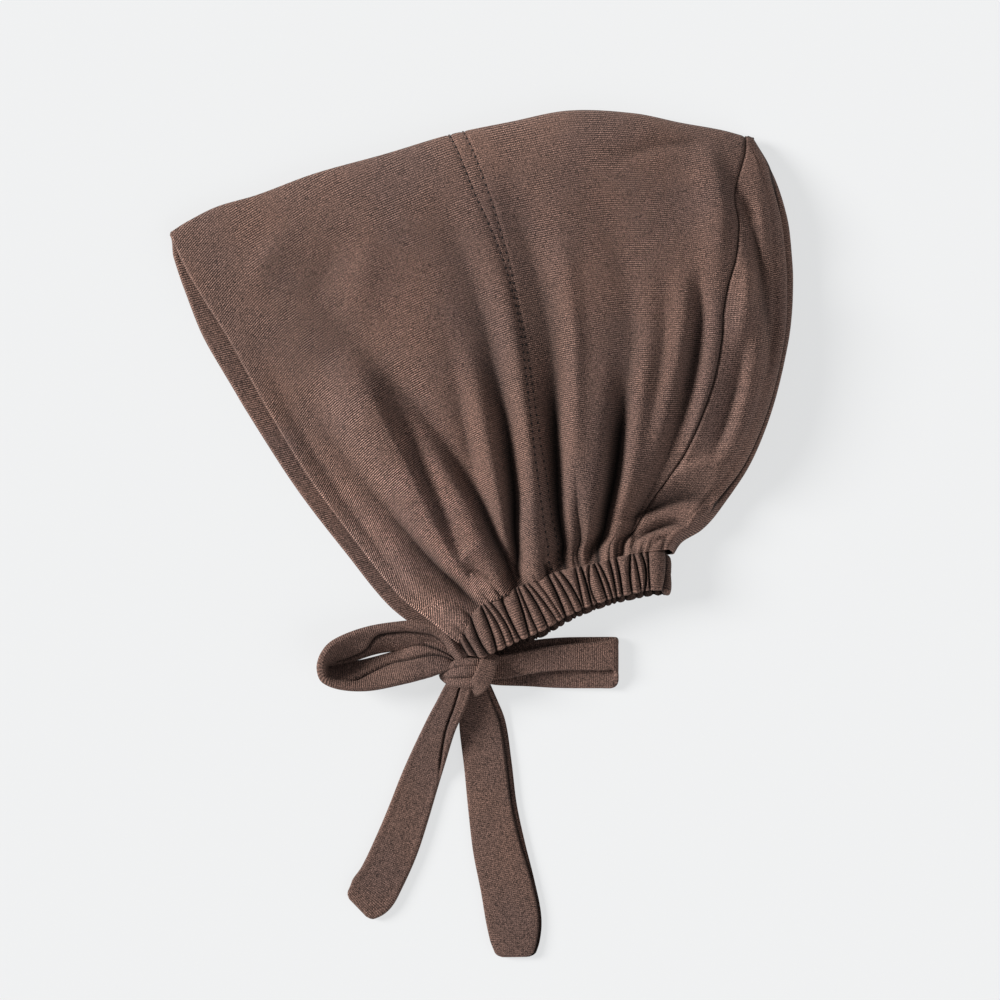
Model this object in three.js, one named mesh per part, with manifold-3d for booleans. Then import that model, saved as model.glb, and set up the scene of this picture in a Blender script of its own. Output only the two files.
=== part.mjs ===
import * as THREE from 'three';
import Module from 'manifold-3d';
import { mergeVertices } from 'three/addons/utils/BufferGeometryUtils.js';

// Underscarf cap of fine jersey, folded in half at the crown and lying flat on a surface.
// Millimetres. +X to the right, +Y towards the crown, +Z up. The origin is at the middle of the base.

// Side of the cap seen from above: four corners, joined by the face edge, the crown fold, the nape line
// and the crease at the back. Each edge has the straight length between its corners and its tilt from +X.
const FACE_EDGE = 224.7;
const FACE_TILT = 125.2;
const CROWN_LINE = 264.3;
const CROWN_TILT = 9.1;
const NAPE_LINE = 103.4;
const NAPE_TILT = 23.3;

// Heights over the surface
const LOFT = 30;
const NAPE_LOFT = 15.6;
const CROWN_TURN = 5;

// Cloth
const BAND_WALL = 2;
const CLOTH_WALL = 1.3;
const CLEARANCE = 0.3;
const CASING_GAP = 0.6;
const KNOT_GAP = 0.5;

// How far the lower side stands out past the upper one
const FACE_PEEK = 9.7;
const BACK_PEEK = 6;
const CROWN_PEEK = 2;

// Back gusset, folded inward between the two sides
const GUSSET_DEPTH = 14;
const CREASE_ROUND = 4;
const GUSSET_START = 0.006;
const CREASE_SHARE = 0.8;

// Folds that run up from the neck: half width and depth of the main ones
const FOLD_WIDTH = 5.5;
const FOLD_DEPTH = 4.2;

// Gathered casing round the neck edge
const CASING_THICKNESS = 6.5;
const CASING_UNDER_THICKNESS = 5;
const CASING_DROP = 3;
const CASING_INSET = 3;
const CASING_RUFFLES = 27;
const RUFFLE_DEPTH = 0.9;

// Tie: a flat strap, knotted in a bow under the nape's front corner
const TIE_WIDTH = 22;
const TIE_THICKNESS = 3;
const KNOT_LENGTH = 17.5;
const KNOT_BREADTH = 15;
const KNOT_HEIGHT = 13;
const KNOT_DROP = 14.8;
const KNOT_ASIDE = 1.4;
const KNOT_WRAP_DEPTH = 1.1;
const LEFT_LOOP_REACH = 65.7;
const LEFT_LOOP_SPREAD = 28.8;
const RIGHT_LOOP_REACH = 68.9;
const LEFT_TAIL_LENGTH = 107;
const LEFT_TAIL_TILT = 247.8;
const RIGHT_TAIL_LENGTH = 124;
const RIGHT_TAIL_TILT = 278.5;

// Number of facets
const LEVELS = [0, 0.05, 0.11, 0.18, 0.26, 0.35, 0.45, 0.55, 0.65, 0.74, 0.82, 0.885, 0.935, 0.972];
const TURN_LEVELS = [0.993, 1, 1.009];
const BAND_COLUMNS = 17;
const CROWN_COLUMNS = 19;
const STATIONS_PER_RUFFLE = 3;
const TURN_STATIONS = 7;

// Colours of the jersey
const JERSEY = 0x6e5549;
const JERSEY_UNDER = 0x64493f;

// Edges of the upper side: along and bulge are shares of the straight length, bulge is outward
const FACE_BULGE = [
  { along: 0, bulge: 0 },
  { along: 0.06, bulge: 0.018 },
  { along: 0.145, bulge: 0.042 },
  { along: 0.27, bulge: 0.05 },
  { along: 0.44, bulge: 0.053 },
  { along: 0.62, bulge: 0.04 },
  { along: 0.75, bulge: 0.025 },
  { along: 0.9, bulge: 0.016 },
  { along: 1, bulge: 0 },
];
const CROWN_BULGE = [
  { along: 0, bulge: 0 },
  { along: 0.03, bulge: 0.013 },
  { along: 0.084, bulge: 0.03 },
  { along: 0.155, bulge: 0.039 },
  { along: 0.256, bulge: 0.059 },
  { along: 0.381, bulge: 0.073 },
  { along: 0.495, bulge: 0.088 },
  { along: 0.6, bulge: 0.093 },
  { along: 0.7, bulge: 0.096 },
  { along: 0.808, bulge: 0.074 },
  { along: 0.883, bulge: 0.046 },
  { along: 0.952, bulge: 0.022 },
  { along: 1, bulge: 0 },
];
const NAPE_BULGE = [
  { along: 0, bulge: 0 },
  { along: 0.114, bulge: -0.088 },
  { along: 0.236, bulge: -0.107 },
  { along: 0.491, bulge: -0.106 },
  { along: 0.658, bulge: -0.076 },
  { along: 0.796, bulge: -0.055 },
  { along: 0.917, bulge: -0.026 },
  { along: 1, bulge: 0 },
];
const BACK_BULGE = [
  { along: 0, bulge: 0 },
  { along: 0.036, bulge: 0.01 },
  { along: 0.068, bulge: 0.038 },
  { along: 0.129, bulge: 0.074 },
  { along: 0.216, bulge: 0.118 },
  { along: 0.296, bulge: 0.141 },
  { along: 0.394, bulge: 0.156 },
  { along: 0.498, bulge: 0.16 },
  { along: 0.574, bulge: 0.155 },
  { along: 0.687, bulge: 0.133 },
  { along: 0.752, bulge: 0.115 },
  { along: 0.835, bulge: 0.091 },
  { along: 0.943, bulge: 0.043 },
  { along: 1, bulge: 0 },
];

// Lower edge of the casing, from the nape's straight line, as shares of that line
const CASING_EDGE = [
  { along: 0, drop: 0.065 },
  { along: 0.034, drop: 0.086 },
  { along: 0.063, drop: 0.106 },
  { along: 0.109, drop: 0.109 },
  { along: 0.22, drop: 0.105 },
  { along: 0.349, drop: 0.103 },
  { along: 0.498, drop: 0.087 },
  { along: 0.652, drop: 0.092 },
  { along: 0.82, drop: 0.121 },
  { along: 0.911, drop: 0.148 },
  { along: 1, drop: 0.15 },
];

// Stand-out of the lower side, as shares of FACE_PEEK, BACK_PEEK and CROWN_PEEK
const FACE_PEEKS = [
  { along: 0, share: 0.1 },
  { along: 0.05, share: 0.3 },
  { along: 0.1, share: 0.62 },
  { along: 0.27, share: 0.7 },
  { along: 0.5, share: 0.82 },
  { along: 0.65, share: 0.93 },
  { along: 0.78, share: 1 },
  { along: 0.89, share: 0.55 },
  { along: 1, share: 0.15 },
];
const BACK_PEEKS = [
  { along: 0, share: 0.1 },
  { along: 0.06, share: 0.8 },
  { along: 0.14, share: 0.95 },
  { along: 0.25, share: 0.7 },
  { along: 0.5, share: 0.62 },
  { along: 0.66, share: 0.9 },
  { along: 0.78, share: 1 },
  { along: 0.9, share: 0.8 },
  { along: 1, share: 0.1 },
];
const CROWN_PEEKS = [
  { along: 0, share: 0.2 },
  { along: 0.7, share: 0.05 },
  { along: 0.82, share: 0.8 },
  { along: 0.92, share: 1 },
  { along: 1, share: 0.1 },
];

// Height of the upper side: shares of NAPE_LOFT at the nape and of LOFT at the three levels above it
const LOFT_LEVELS = [0, 0.2, 0.5, 0.8];
const LOFT_SHARES = [
  { across: 0, heights: [1, 0.39, 0.36, 0.36] },
  { across: 0.12, heights: [1, 0.5, 0.5, 0.48] },
  { across: 0.3, heights: [1, 0.62, 0.68, 0.62] },
  { across: 0.5, heights: [1, 0.72, 0.86, 0.74] },
  { across: 0.7, heights: [1, 0.76, 0.97, 0.8] },
  { across: 0.85, heights: [1, 0.68, 0.86, 0.72] },
  { across: 1, heights: [1, 0.5, 0.52, 0.5] },
];
const DOME_START = 0.78;
const DOME_POWER = 2.2;
const UNDER_TURN = 0.955;
const UNDER_LIFT_LEVEL = 0.09;

// Seams, as shares across from the face edge to the back crease
const FRONT_SEAM = [
  { along: 0, across: 0.488 },
  { along: 0.15, across: 0.482 },
  { along: 0.26, across: 0.478 },
  { along: 0.37, across: 0.484 },
  { along: 0.53, across: 0.498 },
  { along: 0.68, across: 0.505 },
  { along: 0.87, across: 0.495 },
  { along: 1, across: 0.493 },
];
const BACK_SEAM = [
  { along: 0, across: 0.795 },
  { along: 0.13, across: 0.81 },
  { along: 0.26, across: 0.85 },
  { along: 0.36, across: 0.868 },
  { along: 0.5, across: 0.885 },
  { along: 0.6, across: 0.892 },
  { along: 0.71, across: 0.918 },
  { along: 0.85, across: 0.931 },
  { along: 0.93, across: 0.955 },
  { along: 1, across: 0.985 },
];

// Folds of the upper side. start, middle and end are shares across, at the levels low, halfway and high
// above the nape; wide is a share of FOLD_WIDTH and rise of FOLD_DEPTH, below zero for a valley
const FOLDS = [
  { start: 0.15, middle: 0.128, end: 0.09, low: 0, high: 0.48, wide: 0.8, rise: -0.7 },
  { start: 0.075, middle: 0.06, end: 0.06, low: 0, high: 0.34, wide: 0.85, rise: 0.35 },
  { start: 0.2, middle: 0.215, end: 0.23, low: 0.1, high: 0.58, wide: 0.9, rise: -0.5 },
  { start: 0.345, middle: 0.285, end: 0.16, low: 0, high: 0.78, wide: 0.95, rise: -0.75 },
  { start: 0.28, middle: 0.27, end: 0.235, low: 0, high: 0.46, wide: 0.9, rise: 0.4 },
  { start: 0.33, middle: 0.35, end: 0.365, low: 0.26, high: 0.66, wide: 0.9, rise: -0.5 },
  { start: 0.35, middle: 0.432, end: 0.43, low: 0, high: 0.85, wide: 1, rise: -1 },
  { start: 0.42, middle: 0.462, end: 0.465, low: 0.02, high: 0.82, wide: 0.9, rise: 0.5 },
  { start: 0.546, middle: 0.537, end: 0.525, low: 0, high: 0.9, wide: 1, rise: -1 },
  { start: 0.57, middle: 0.572, end: 0.607, low: 0.02, high: 0.84, wide: 0.95, rise: 0.5 },
  { start: 0.61, middle: 0.59, end: 0.568, low: 0, high: 0.3, wide: 0.7, rise: -0.6 },
  { start: 0.694, middle: 0.688, end: 0.7, low: 0, high: 0.72, wide: 1.05, rise: -1 },
  { start: 0.712, middle: 0.72, end: 0.75, low: 0.08, high: 0.68, wide: 1, rise: 0.4 },
  { start: 0.787, middle: 0.812, end: 0.846, low: 0, high: 0.66, wide: 0.95, rise: -0.9 },
  { start: 0.85, middle: 0.868, end: 0.903, low: 0.2, high: 0.96, wide: 0.9, rise: 0.35 },
];
const FOLD_FADE = 0.3;

// Section of the back gusset, round from the upper side to the lower one: inset from the crease in
// creases' rounding or, where it is deep, in gusset depths; height as a share of the upper side's height
const GUSSET_SECTION = [
  { inset: 1, deep: 0, height: 1 },
  { inset: 0.32, deep: 0, height: 0.93 },
  { inset: 0, deep: 0, height: 0.77 },
  { inset: 0.3, deep: 0, height: 0.6 },
  { inset: 1, deep: 0, height: 0.53 },
  { inset: 0, deep: 0.93, height: 0.47 },
  { inset: 0, deep: 1, height: 0.41 },
  { inset: 0, deep: 0.93, height: 0.36 },
  { inset: 1, deep: 0, height: 0.33 },
  { inset: 0.25, deep: 0, height: 0.27 },
  { inset: 0, deep: 0, height: 0.15 },
  { inset: 0.25, deep: 0, height: 0.035 },
  { inset: 1, deep: 0, height: 0 },
];
const GUSSET_DEPTHS = [
  { along: 0, share: 0 },
  { along: 0.1, share: 0.35 },
  { along: 0.25, share: 1 },
  { along: 0.75, share: 1 },
  { along: 0.9, share: 0.45 },
  { along: 1, share: 0 },
];

// Straps of the bow. Left loop: out is a share of its reach, side of its spread, both from the knot's
// middle; height and width are shares of TIE_WIDTH, lean is the tilt of the strap's width in degrees
const LEFT_LOOP = [
  { out: 0.05, side: 0.17, height: 0.5, width: 0.4, lean: 50 },
  { out: 0.11, side: 0.3, height: 0.48, width: 0.5, lean: 56 },
  { out: 0.19, side: 0.46, height: 0.46, width: 0.62, lean: 62 },
  { out: 0.33, side: 0.59, height: 0.42, width: 0.78, lean: 66 },
  { out: 0.5, side: 0.58, height: 0.43, width: 0.82, lean: 68 },
  { out: 0.67, side: 0.46, height: 0.43, width: 0.82, lean: 70 },
  { out: 0.83, side: 0.3, height: 0.43, width: 0.82, lean: 74 },
  { out: 0.93, side: 0.16, height: 0.43, width: 0.82, lean: 78 },
  { out: 0.965, side: 0.02, height: 0.43, width: 0.82, lean: 80 },
  { out: 0.93, side: -0.09, height: 0.43, width: 0.82, lean: 76 },
  { out: 0.8, side: -0.12, height: 0.42, width: 0.82, lean: 64 },
  { out: 0.62, side: -0.07, height: 0.4, width: 0.82, lean: 58 },
  { out: 0.42, side: 0.01, height: 0.38, width: 0.76, lean: 56 },
  { out: 0.24, side: 0.02, height: 0.34, width: 0.6, lean: 54 },
  { out: 0.06, side: -0.1, height: 0.3, width: 0.42, lean: 50 },
];
// Right loop: it lies flat, folded over at its end. out is a share of its reach, side, height and width are
// shares of TIE_WIDTH
const RIGHT_LOOP = [
  { out: 0.06, side: 0.06, height: 0.4, width: 0.4, lean: 0 },
  { out: 0.18, side: 0.13, height: 0.38, width: 0.43, lean: 0 },
  { out: 0.3, side: 0.17, height: 0.34, width: 0.46, lean: 0 },
  { out: 0.46, side: 0.26, height: 0.31, width: 0.48, lean: 0 },
  { out: 0.63, side: 0.32, height: 0.29, width: 0.5, lean: 0 },
  { out: 0.8, side: 0.34, height: 0.27, width: 0.54, lean: 0 },
  { out: 0.92, side: 0.32, height: 0.25, width: 0.66, lean: 0 },
  { out: 0.98, side: 0.26, height: 0.21, width: 0.84, lean: 0 },
  { out: 1, side: 0.25, height: 0.15, width: 0.98, lean: 0 },
  { out: 0.98, side: 0.24, height: 0.085, width: 1.04, lean: 0 },
  { out: 0.9, side: 0.22, height: 0.07, width: 1.05, lean: 0 },
  { out: 0.63, side: 0.21, height: 0.07, width: 1.03, lean: 0 },
  { out: 0.42, side: 0.19, height: 0.07, width: 0.9, lean: 0 },
  { out: 0.24, side: 0.12, height: 0.075, width: 0.7, lean: 0 },
  { out: 0.14, side: 0.06, height: 0.1, width: 0.52, lean: 0 },
  { out: 0.06, side: 0, height: 0.16, width: 0.42, lean: 0 },
];
// Band of the tie that comes out of the casing and crosses the knot: out and side are shares of
// KNOT_DROP, from the knot's middle, height and width are shares of TIE_WIDTH
const KNOT_BAND = [
  { out: 0.92, side: 0.6, height: 0.44, width: 0.34, lean: 0 },
  { out: 0.8, side: 0.3, height: 0.62, width: 0.36, lean: 0 },
  { out: 0.7, side: 0.03, height: 0.68, width: 0.38, lean: -8 },
  { out: 0.55, side: -0.3, height: 0.62, width: 0.38, lean: -12 },
  { out: 0.39, side: -0.54, height: 0.44, width: 0.34, lean: -8 },
  { out: 0.27, side: -0.62, height: 0.28, width: 0.28, lean: 0 },
];
// Free ends: along and aside are shares of the tail's length, width and height of TIE_WIDTH
const LEFT_TAIL = [
  { along: 0, aside: 0, height: 0.34, width: 0.5 },
  { along: 0.07, aside: -0.004, height: 0.3, width: 0.56 },
  { along: 0.16, aside: -0.008, height: 0.24, width: 0.63 },
  { along: 0.3, aside: -0.006, height: 0.12, width: 0.73 },
  { along: 0.42, aside: -0.002, height: 0.07, width: 0.8 },
  { along: 0.56, aside: 0.006, height: 0.07, width: 0.86 },
  { along: 0.7, aside: 0.01, height: 0.07, width: 0.92 },
  { along: 0.84, aside: 0.004, height: 0.07, width: 0.92 },
  { along: 0.93, aside: 0, height: 0.07, width: 0.94 },
  { along: 1, aside: 0.004, height: 0.07, width: 0.72 },
];
const RIGHT_TAIL = [
  { along: 0, aside: 0, height: 0.2, width: 0.62 },
  { along: 0.08, aside: 0.004, height: 0.14, width: 0.82 },
  { along: 0.16, aside: 0.008, height: 0.07, width: 0.96 },
  { along: 0.3, aside: 0.006, height: 0.07, width: 0.98 },
  { along: 0.45, aside: 0, height: 0.07, width: 1 },
  { along: 0.6, aside: 0.002, height: 0.07, width: 1.08 },
  { along: 0.74, aside: 0.01, height: 0.07, width: 1.12 },
  { along: 0.86, aside: 0.006, height: 0.07, width: 1.04 },
  { along: 0.94, aside: 0.002, height: 0.07, width: 0.92 },
  { along: 1, aside: 0, height: 0.07, width: 0.74 },
];
// Where the tails leave the knot, from its middle, as shares of its length and breadth
const LEFT_TAIL_START = { out: -0.13, side: -0.54 };
const RIGHT_TAIL_START = { out: 0.31, side: -0.33 };
// Round strap section: across and up are shares of half the width and half the thickness
const STRAP_SECTION = [
  { across: 1, up: -0.35 },
  { across: 1, up: 0.35 },
  { across: 0.72, up: 1 },
  { across: -0.72, up: 1 },
  { across: -1, up: 0.35 },
  { across: -1, up: -0.35 },
  { across: -0.72, up: -1 },
  { across: 0.72, up: -1 },
];

const DEGREE = Math.PI / 180;
const UP = new THREE.Vector3(0, 0, 1);

const mix = (a, b, share) => a + (b - a) * share;
const clamp = (x) => Math.min(1, Math.max(0, x));
const smooth = (x) => clamp(x) ** 2 * (3 - 2 * clamp(x));
const heading = (tilt) => new THREE.Vector3(Math.cos(tilt * DEGREE), Math.sin(tilt * DEGREE), 0);

// Value of a table's column at a place, on a smooth curve through its rows
function follow(rows, place, key, value) {
  const last = rows.length - 1;
  if (place <= rows[0][key]) return rows[0][value];
  if (place >= rows[last][key]) return rows[last][value];
  let i = 0;
  while (rows[i + 1][key] < place) i += 1;
  const slope = (a, b) => (rows[b][value] - rows[a][value]) / (rows[b][key] - rows[a][key]);
  const tangent = (k) => slope(Math.max(0, k - 1), Math.min(last, k + 1));
  const span = rows[i + 1][key] - rows[i][key];
  const t = (place - rows[i][key]) / span;
  const share = 3 * t ** 2 - 2 * t ** 3;
  const slopes = (t ** 3 - 2 * t ** 2 + t) * tangent(i) + (t ** 3 - t ** 2) * tangent(i + 1);
  return mix(rows[i][value], rows[i + 1][value], share) + span * slopes;
}

// Corners of the side: the nape's front corner is at zero
const NAPE_FRONT = new THREE.Vector3();
const NAPE_BACK = heading(NAPE_TILT).multiplyScalar(NAPE_LINE);
const CROWN_FRONT = heading(FACE_TILT).multiplyScalar(FACE_EDGE);
const CROWN_BACK = CROWN_FRONT.clone().addScaledVector(heading(CROWN_TILT), CROWN_LINE);

// Point of a bulged edge; outward is the left side of the way from start to end, or the right side for -1
function edgePoint(start, end, rows, along, side) {
  const way = end.clone().sub(start);
  const out = new THREE.Vector3(-way.y, way.x, 0).multiplyScalar(side);
  const bulge = follow(rows, along, 'along', 'bulge');
  return start.clone().addScaledVector(way, along).addScaledVector(out, bulge);
}
const facePoint = (v) => edgePoint(NAPE_FRONT, CROWN_FRONT, FACE_BULGE, v, 1);
const crownPoint = (u) => edgePoint(CROWN_FRONT, CROWN_BACK, CROWN_BULGE, u, 1);
const napePoint = (u) => edgePoint(NAPE_FRONT, NAPE_BACK, NAPE_BULGE, u, -1);
const backPoint = (v) => edgePoint(NAPE_BACK, CROWN_BACK, BACK_BULGE, v, -1);

// Outward directions of the edges
const NAPE_OUT = heading(NAPE_TILT - 90);
const FACE_OUT = heading(FACE_TILT + 90);
const CROWN_OUT = heading(CROWN_TILT + 90);
const BACK_WAY = CROWN_BACK.clone().sub(NAPE_BACK);
const BACK_OUT = new THREE.Vector3(BACK_WAY.y, -BACK_WAY.x, 0).normalize();

// Place on the side seen from above: u runs from the face edge to the back, v from the nape to the crown
function plan(u, v) {
  const across = napePoint(u).multiplyScalar(1 - v).addScaledVector(crownPoint(u), v);
  const along = facePoint(v).multiplyScalar(1 - u).addScaledVector(backPoint(v), u);
  const low = NAPE_FRONT.clone().multiplyScalar(1 - u).addScaledVector(NAPE_BACK, u);
  const high = CROWN_FRONT.clone().multiplyScalar(1 - u).addScaledVector(CROWN_BACK, u);
  return across.add(along).addScaledVector(low, v - 1).addScaledVector(high, -v);
}

// Millimetres across the side at a level
const breadth = (v) => facePoint(v).distanceTo(backPoint(v));

// Shift of the lower side against the upper one
const FACE_PEEK_REACH = 0.3;
const BACK_PEEK_REACH = 0.25;
const CROWN_PEEK_REACH = 0.12;
const NAPE_DROP_REACH = 0.2;
function underShift(u, v) {
  const peek = (rows, place, reach, inset) => (
    follow(rows, place, 'along', 'share') * smooth(1 - inset / reach)
  );
  const face = FACE_PEEK * peek(FACE_PEEKS, v, FACE_PEEK_REACH, u);
  const back = BACK_PEEK * peek(BACK_PEEKS, v, BACK_PEEK_REACH, 1 - u);
  const crown = CROWN_PEEK * peek(CROWN_PEEKS, u, CROWN_PEEK_REACH, 1 - v);
  const shift = FACE_OUT.clone().multiplyScalar(face).addScaledVector(BACK_OUT, back);
  shift.addScaledVector(NAPE_OUT, CASING_DROP * smooth(1 - v / NAPE_DROP_REACH));
  return shift.addScaledVector(CROWN_OUT, crown);
}

// How much of that shift shows on the way round the back, by the share of height that is left
const UNDER_LEAD = 1.4;
const underShare = (height) => smooth((1 - height) * UNDER_LEAD);

// Height of the upper side's outer face, without its folds
function loftAt(u, v) {
  const levels = LOFT_LEVELS.map((level, i) => {
    const rows = LOFT_SHARES.map((row) => ({ across: row.across, height: row.heights[i] }));
    return { level, height: (i > 0 ? LOFT : NAPE_LOFT) * follow(rows, u, 'across', 'height') };
  });
  return follow(levels, v, 'level', 'height');
}
function upperHeight(u, v) {
  const near = clamp((v - DOME_START) / (1 - DOME_START));
  const dome = (1 - near ** DOME_POWER) ** (1 / DOME_POWER);
  return mix(CROWN_TURN, loftAt(u, v), dome);
}

// Height of a point of the lower side's outer face
const CASING_MIDDLE_UNDER = CASING_UNDER_THICKNESS / 2;
function underHeight(v) {
  const turn = clamp((v - UNDER_TURN) / (1 - UNDER_TURN));
  const lift = (CASING_MIDDLE_UNDER - CLOTH_WALL / 2) * smooth(1 - v / UNDER_LIFT_LEVEL);
  return CROWN_TURN * (1 - Math.sqrt(1 - turn ** 2)) + lift;
}

// Height that the folds add to the upper side
function foldHeight(u, v) {
  let sum = 0;
  for (const fold of FOLDS) {
    const t = (v - fold.low) / (fold.high - fold.low);
    const bow = fold.middle - (fold.start + fold.end) / 2;
    const lead = mix(fold.start, fold.end, t) + 4 * t * (1 - t) * bow;
    const away = ((u - lead) * breadth(v)) / (fold.wide * FOLD_WIDTH);
    const fade = smooth((1 - t) / FOLD_FADE) * (fold.low > 0 ? smooth(t / FOLD_FADE) : 1);
    if (t >= 0 && t <= 1) sum += fold.rise * FOLD_DEPTH * fade * Math.exp(-(away ** 2));
  }
  return sum;
}

// Outer face of the cap as one sheet: w from 0 to 1 is the upper side, from 1 to 2 the lower side
function sidePoint(u, w) {
  const v = w <= 1 ? w : 2 - w;
  const point = plan(u, v);
  if (w <= 1) return point.setZ(upperHeight(u, v));
  const shown = smooth((1 - v) / (1 - UNDER_TURN));
  point.addScaledVector(underShift(u, v), shown);
  return point.setZ(underHeight(v));
}
const STEP = 0.004;
function sideNormal(u, w) {
  const a = sidePoint(Math.max(0, u - STEP), w);
  const b = sidePoint(Math.min(1, u + STEP), w);
  const c = sidePoint(u, Math.max(0, w - STEP));
  const d = sidePoint(u, Math.min(2, w + STEP));
  return b.sub(a).cross(d.sub(c)).normalize();
}

// Closed body between two sheets of points, given as rows of equal length
function wallBetween(outer, inner) {
  const high = outer.length;
  const wide = outer[0].length;
  const points = [...outer.flat(), ...inner.flat()];
  const index = [];
  const quad = (a, b, c, d) => index.push(a, b, c, a, c, d);
  const at = (i, j) => i * wide + j;
  const under = high * wide;
  for (let i = 0; i < high - 1; i += 1) {
    for (let j = 0; j < wide - 1; j += 1) {
      quad(at(i, j), at(i, j + 1), at(i + 1, j + 1), at(i + 1, j));
      quad(under + at(i, j), under + at(i + 1, j), under + at(i + 1, j + 1), under + at(i, j + 1));
    }
  }
  for (let j = 0; j < wide - 1; j += 1) {
    quad(at(0, j), under + at(0, j), under + at(0, j + 1), at(0, j + 1));
    quad(at(high - 1, j), at(high - 1, j + 1), under + at(high - 1, j + 1), under + at(high - 1, j));
  }
  for (let i = 0; i < high - 1; i += 1) {
    quad(at(i, 0), at(i + 1, 0), under + at(i + 1, 0), under + at(i, 0));
    quad(at(i, wide - 1), under + at(i, wide - 1), under + at(i + 1, wide - 1), at(i + 1, wide - 1));
  }
  return bodyFrom(points, index);
}

// Closed body through closed sections, with flat ends
function loftThrough(sections) {
  const around = sections[0].length;
  const points = sections.flat();
  const index = [];
  for (let i = 0; i < sections.length - 1; i += 1) {
    for (let j = 0; j < around; j += 1) {
      const next = (j + 1) % around;
      const a = i * around + j;
      const b = i * around + next;
      index.push(a, b, b + around, a, b + around, a + around);
    }
  }
  const last = (sections.length - 1) * around;
  for (let j = 1; j < around - 1; j += 1) {
    index.push(0, j + 1, j);
    index.push(last, last + j, last + j + 1);
  }
  return bodyFrom(points, index);
}

// Geometry with its faces turned outwards
function bodyFrom(points, index) {
  let volume = 0;
  for (let i = 0; i < index.length; i += 3) {
    const [a, b, c] = [points[index[i]], points[index[i + 1]], points[index[i + 2]]];
    volume += a.dot(b.clone().cross(c));
  }
  const turned = volume < 0 ? index.slice().reverse() : index;
  const body = new THREE.BufferGeometry();
  body.setAttribute('position', new THREE.Float32BufferAttribute(points.flatMap((p) => p.toArray()), 3));
  body.setIndex(turned);
  return body;
}

// Panel of the cap between two shares across, from the nape over the crown and back to the nape
function panel(from, to, columns, wall) {
  const levels = [...LEVELS, ...TURN_LEVELS, ...LEVELS.map((v) => 2 - v).reverse()];
  const outer = [];
  const inner = [];
  for (const w of levels) {
    const v = w <= 1 ? w : 2 - w;
    const half = CLEARANCE / 2 / breadth(v);
    const start = from(v) + (from(v) > 0 ? half : 0);
    const end = to(v) - half;
    const row = Array.from({ length: columns + 1 }, (_, i) => mix(start, end, i / columns));
    const rise = (u) => (w <= 1 ? foldHeight(u, v) * smooth((1 - v) / FOLD_FADE) : 0);
    const lifted = (u) => sidePoint(u, w).addScaledVector(UP, rise(u));
    outer.push(row.map(lifted));
    inner.push(row.map((u) => lifted(u).addScaledVector(sideNormal(u, w), -wall)));
  }
  return wallBetween(outer, inner);
}

const backSeam = (v) => follow(BACK_SEAM, v, 'along', 'across');
const frontSeam = (v) => follow(FRONT_SEAM, v, 'along', 'across');
const frontBand = () => panel(() => 0, frontSeam, BAND_COLUMNS, BAND_WALL);
const crownPanel = () => panel(frontSeam, backSeam, CROWN_COLUMNS, CLOTH_WALL);

// Back gusset: strips of the two sides, joined by a fold that goes in between them
function gussetRow(v) {
  const across = breadth(v);
  const seam = backSeam(v) + CLEARANCE / 2 / across;
  const tip = Math.min(CREASE_ROUND, (1 - seam) * across * CREASE_SHARE);
  const height = upperHeight(1, v);
  const deep = GUSSET_DEPTH * follow(GUSSET_DEPTHS, v, 'along', 'share');
  const round = deep / GUSSET_DEPTH;
  const outer = [];
  const inner = [];
  const strip = [1, 0.66, 0.33];
  for (const share of strip) {
    const u = mix(1 - tip / across, seam, share);
    const rise = UP.clone().multiplyScalar(foldHeight(u, v) * smooth((1 - v) / FOLD_FADE));
    outer.push(sidePoint(u, v).add(rise));
    inner.push(sidePoint(u, v).addScaledVector(sideNormal(u, v), -CLOTH_WALL).add(rise));
  }
  GUSSET_SECTION.forEach((place, i) => {
    const turn = (Math.PI * i) / (GUSSET_SECTION.length - 1);
    const folded = place.inset * tip + place.deep * Math.max(deep, tip);
    const plain = (1 - Math.sin(turn)) * tip;
    const inset = mix(plain, folded, round);
    const share = mix((1 + Math.cos(turn)) / 2, place.height, round);
    const u = 1 - inset / across;
    const shown = underShare(share);
    const lift = underHeight(v) * (1 - share);
    const start = plan(u, v).addScaledVector(underShift(u, v), shown);
    outer.push(start.setZ(height * share + lift));
    inner.push(null);
  });
  for (const share of strip.slice().reverse()) {
    const u = mix(1 - tip / across, seam, share);
    outer.push(sidePoint(u, 2 - v));
    inner.push(sidePoint(u, 2 - v).addScaledVector(sideNormal(u, 2 - v), -CLOTH_WALL));
  }
  return { outer, inner };
}
function backPanel() {
  const rows = LEVELS.map((v) => gussetRow(Math.max(v, GUSSET_START)));
  const outer = rows.map((row) => row.outer);
  const inner = rows.map((row, i) => row.inner.map((known, j) => {
    if (known) return known;
    const before = outer[i][j - 1];
    const after = outer[i][j + 1];
    const below = outer[Math.max(0, i - 1)][j];
    const above = outer[Math.min(outer.length - 1, i + 1)][j];
    const normal = after.clone().sub(before).cross(above.clone().sub(below)).normalize();
    return outer[i][j].clone().addScaledVector(normal, -CLOTH_WALL);
  }));
  return wallBetween(outer, inner);
}

// Section of a strap round its middle
function strapSection(middle, across, up, width, thickness) {
  return STRAP_SECTION.map((corner) => middle.clone()
    .addScaledVector(across, (corner.across * width) / 2)
    .addScaledVector(up, (corner.up * thickness) / 2));
}

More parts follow.
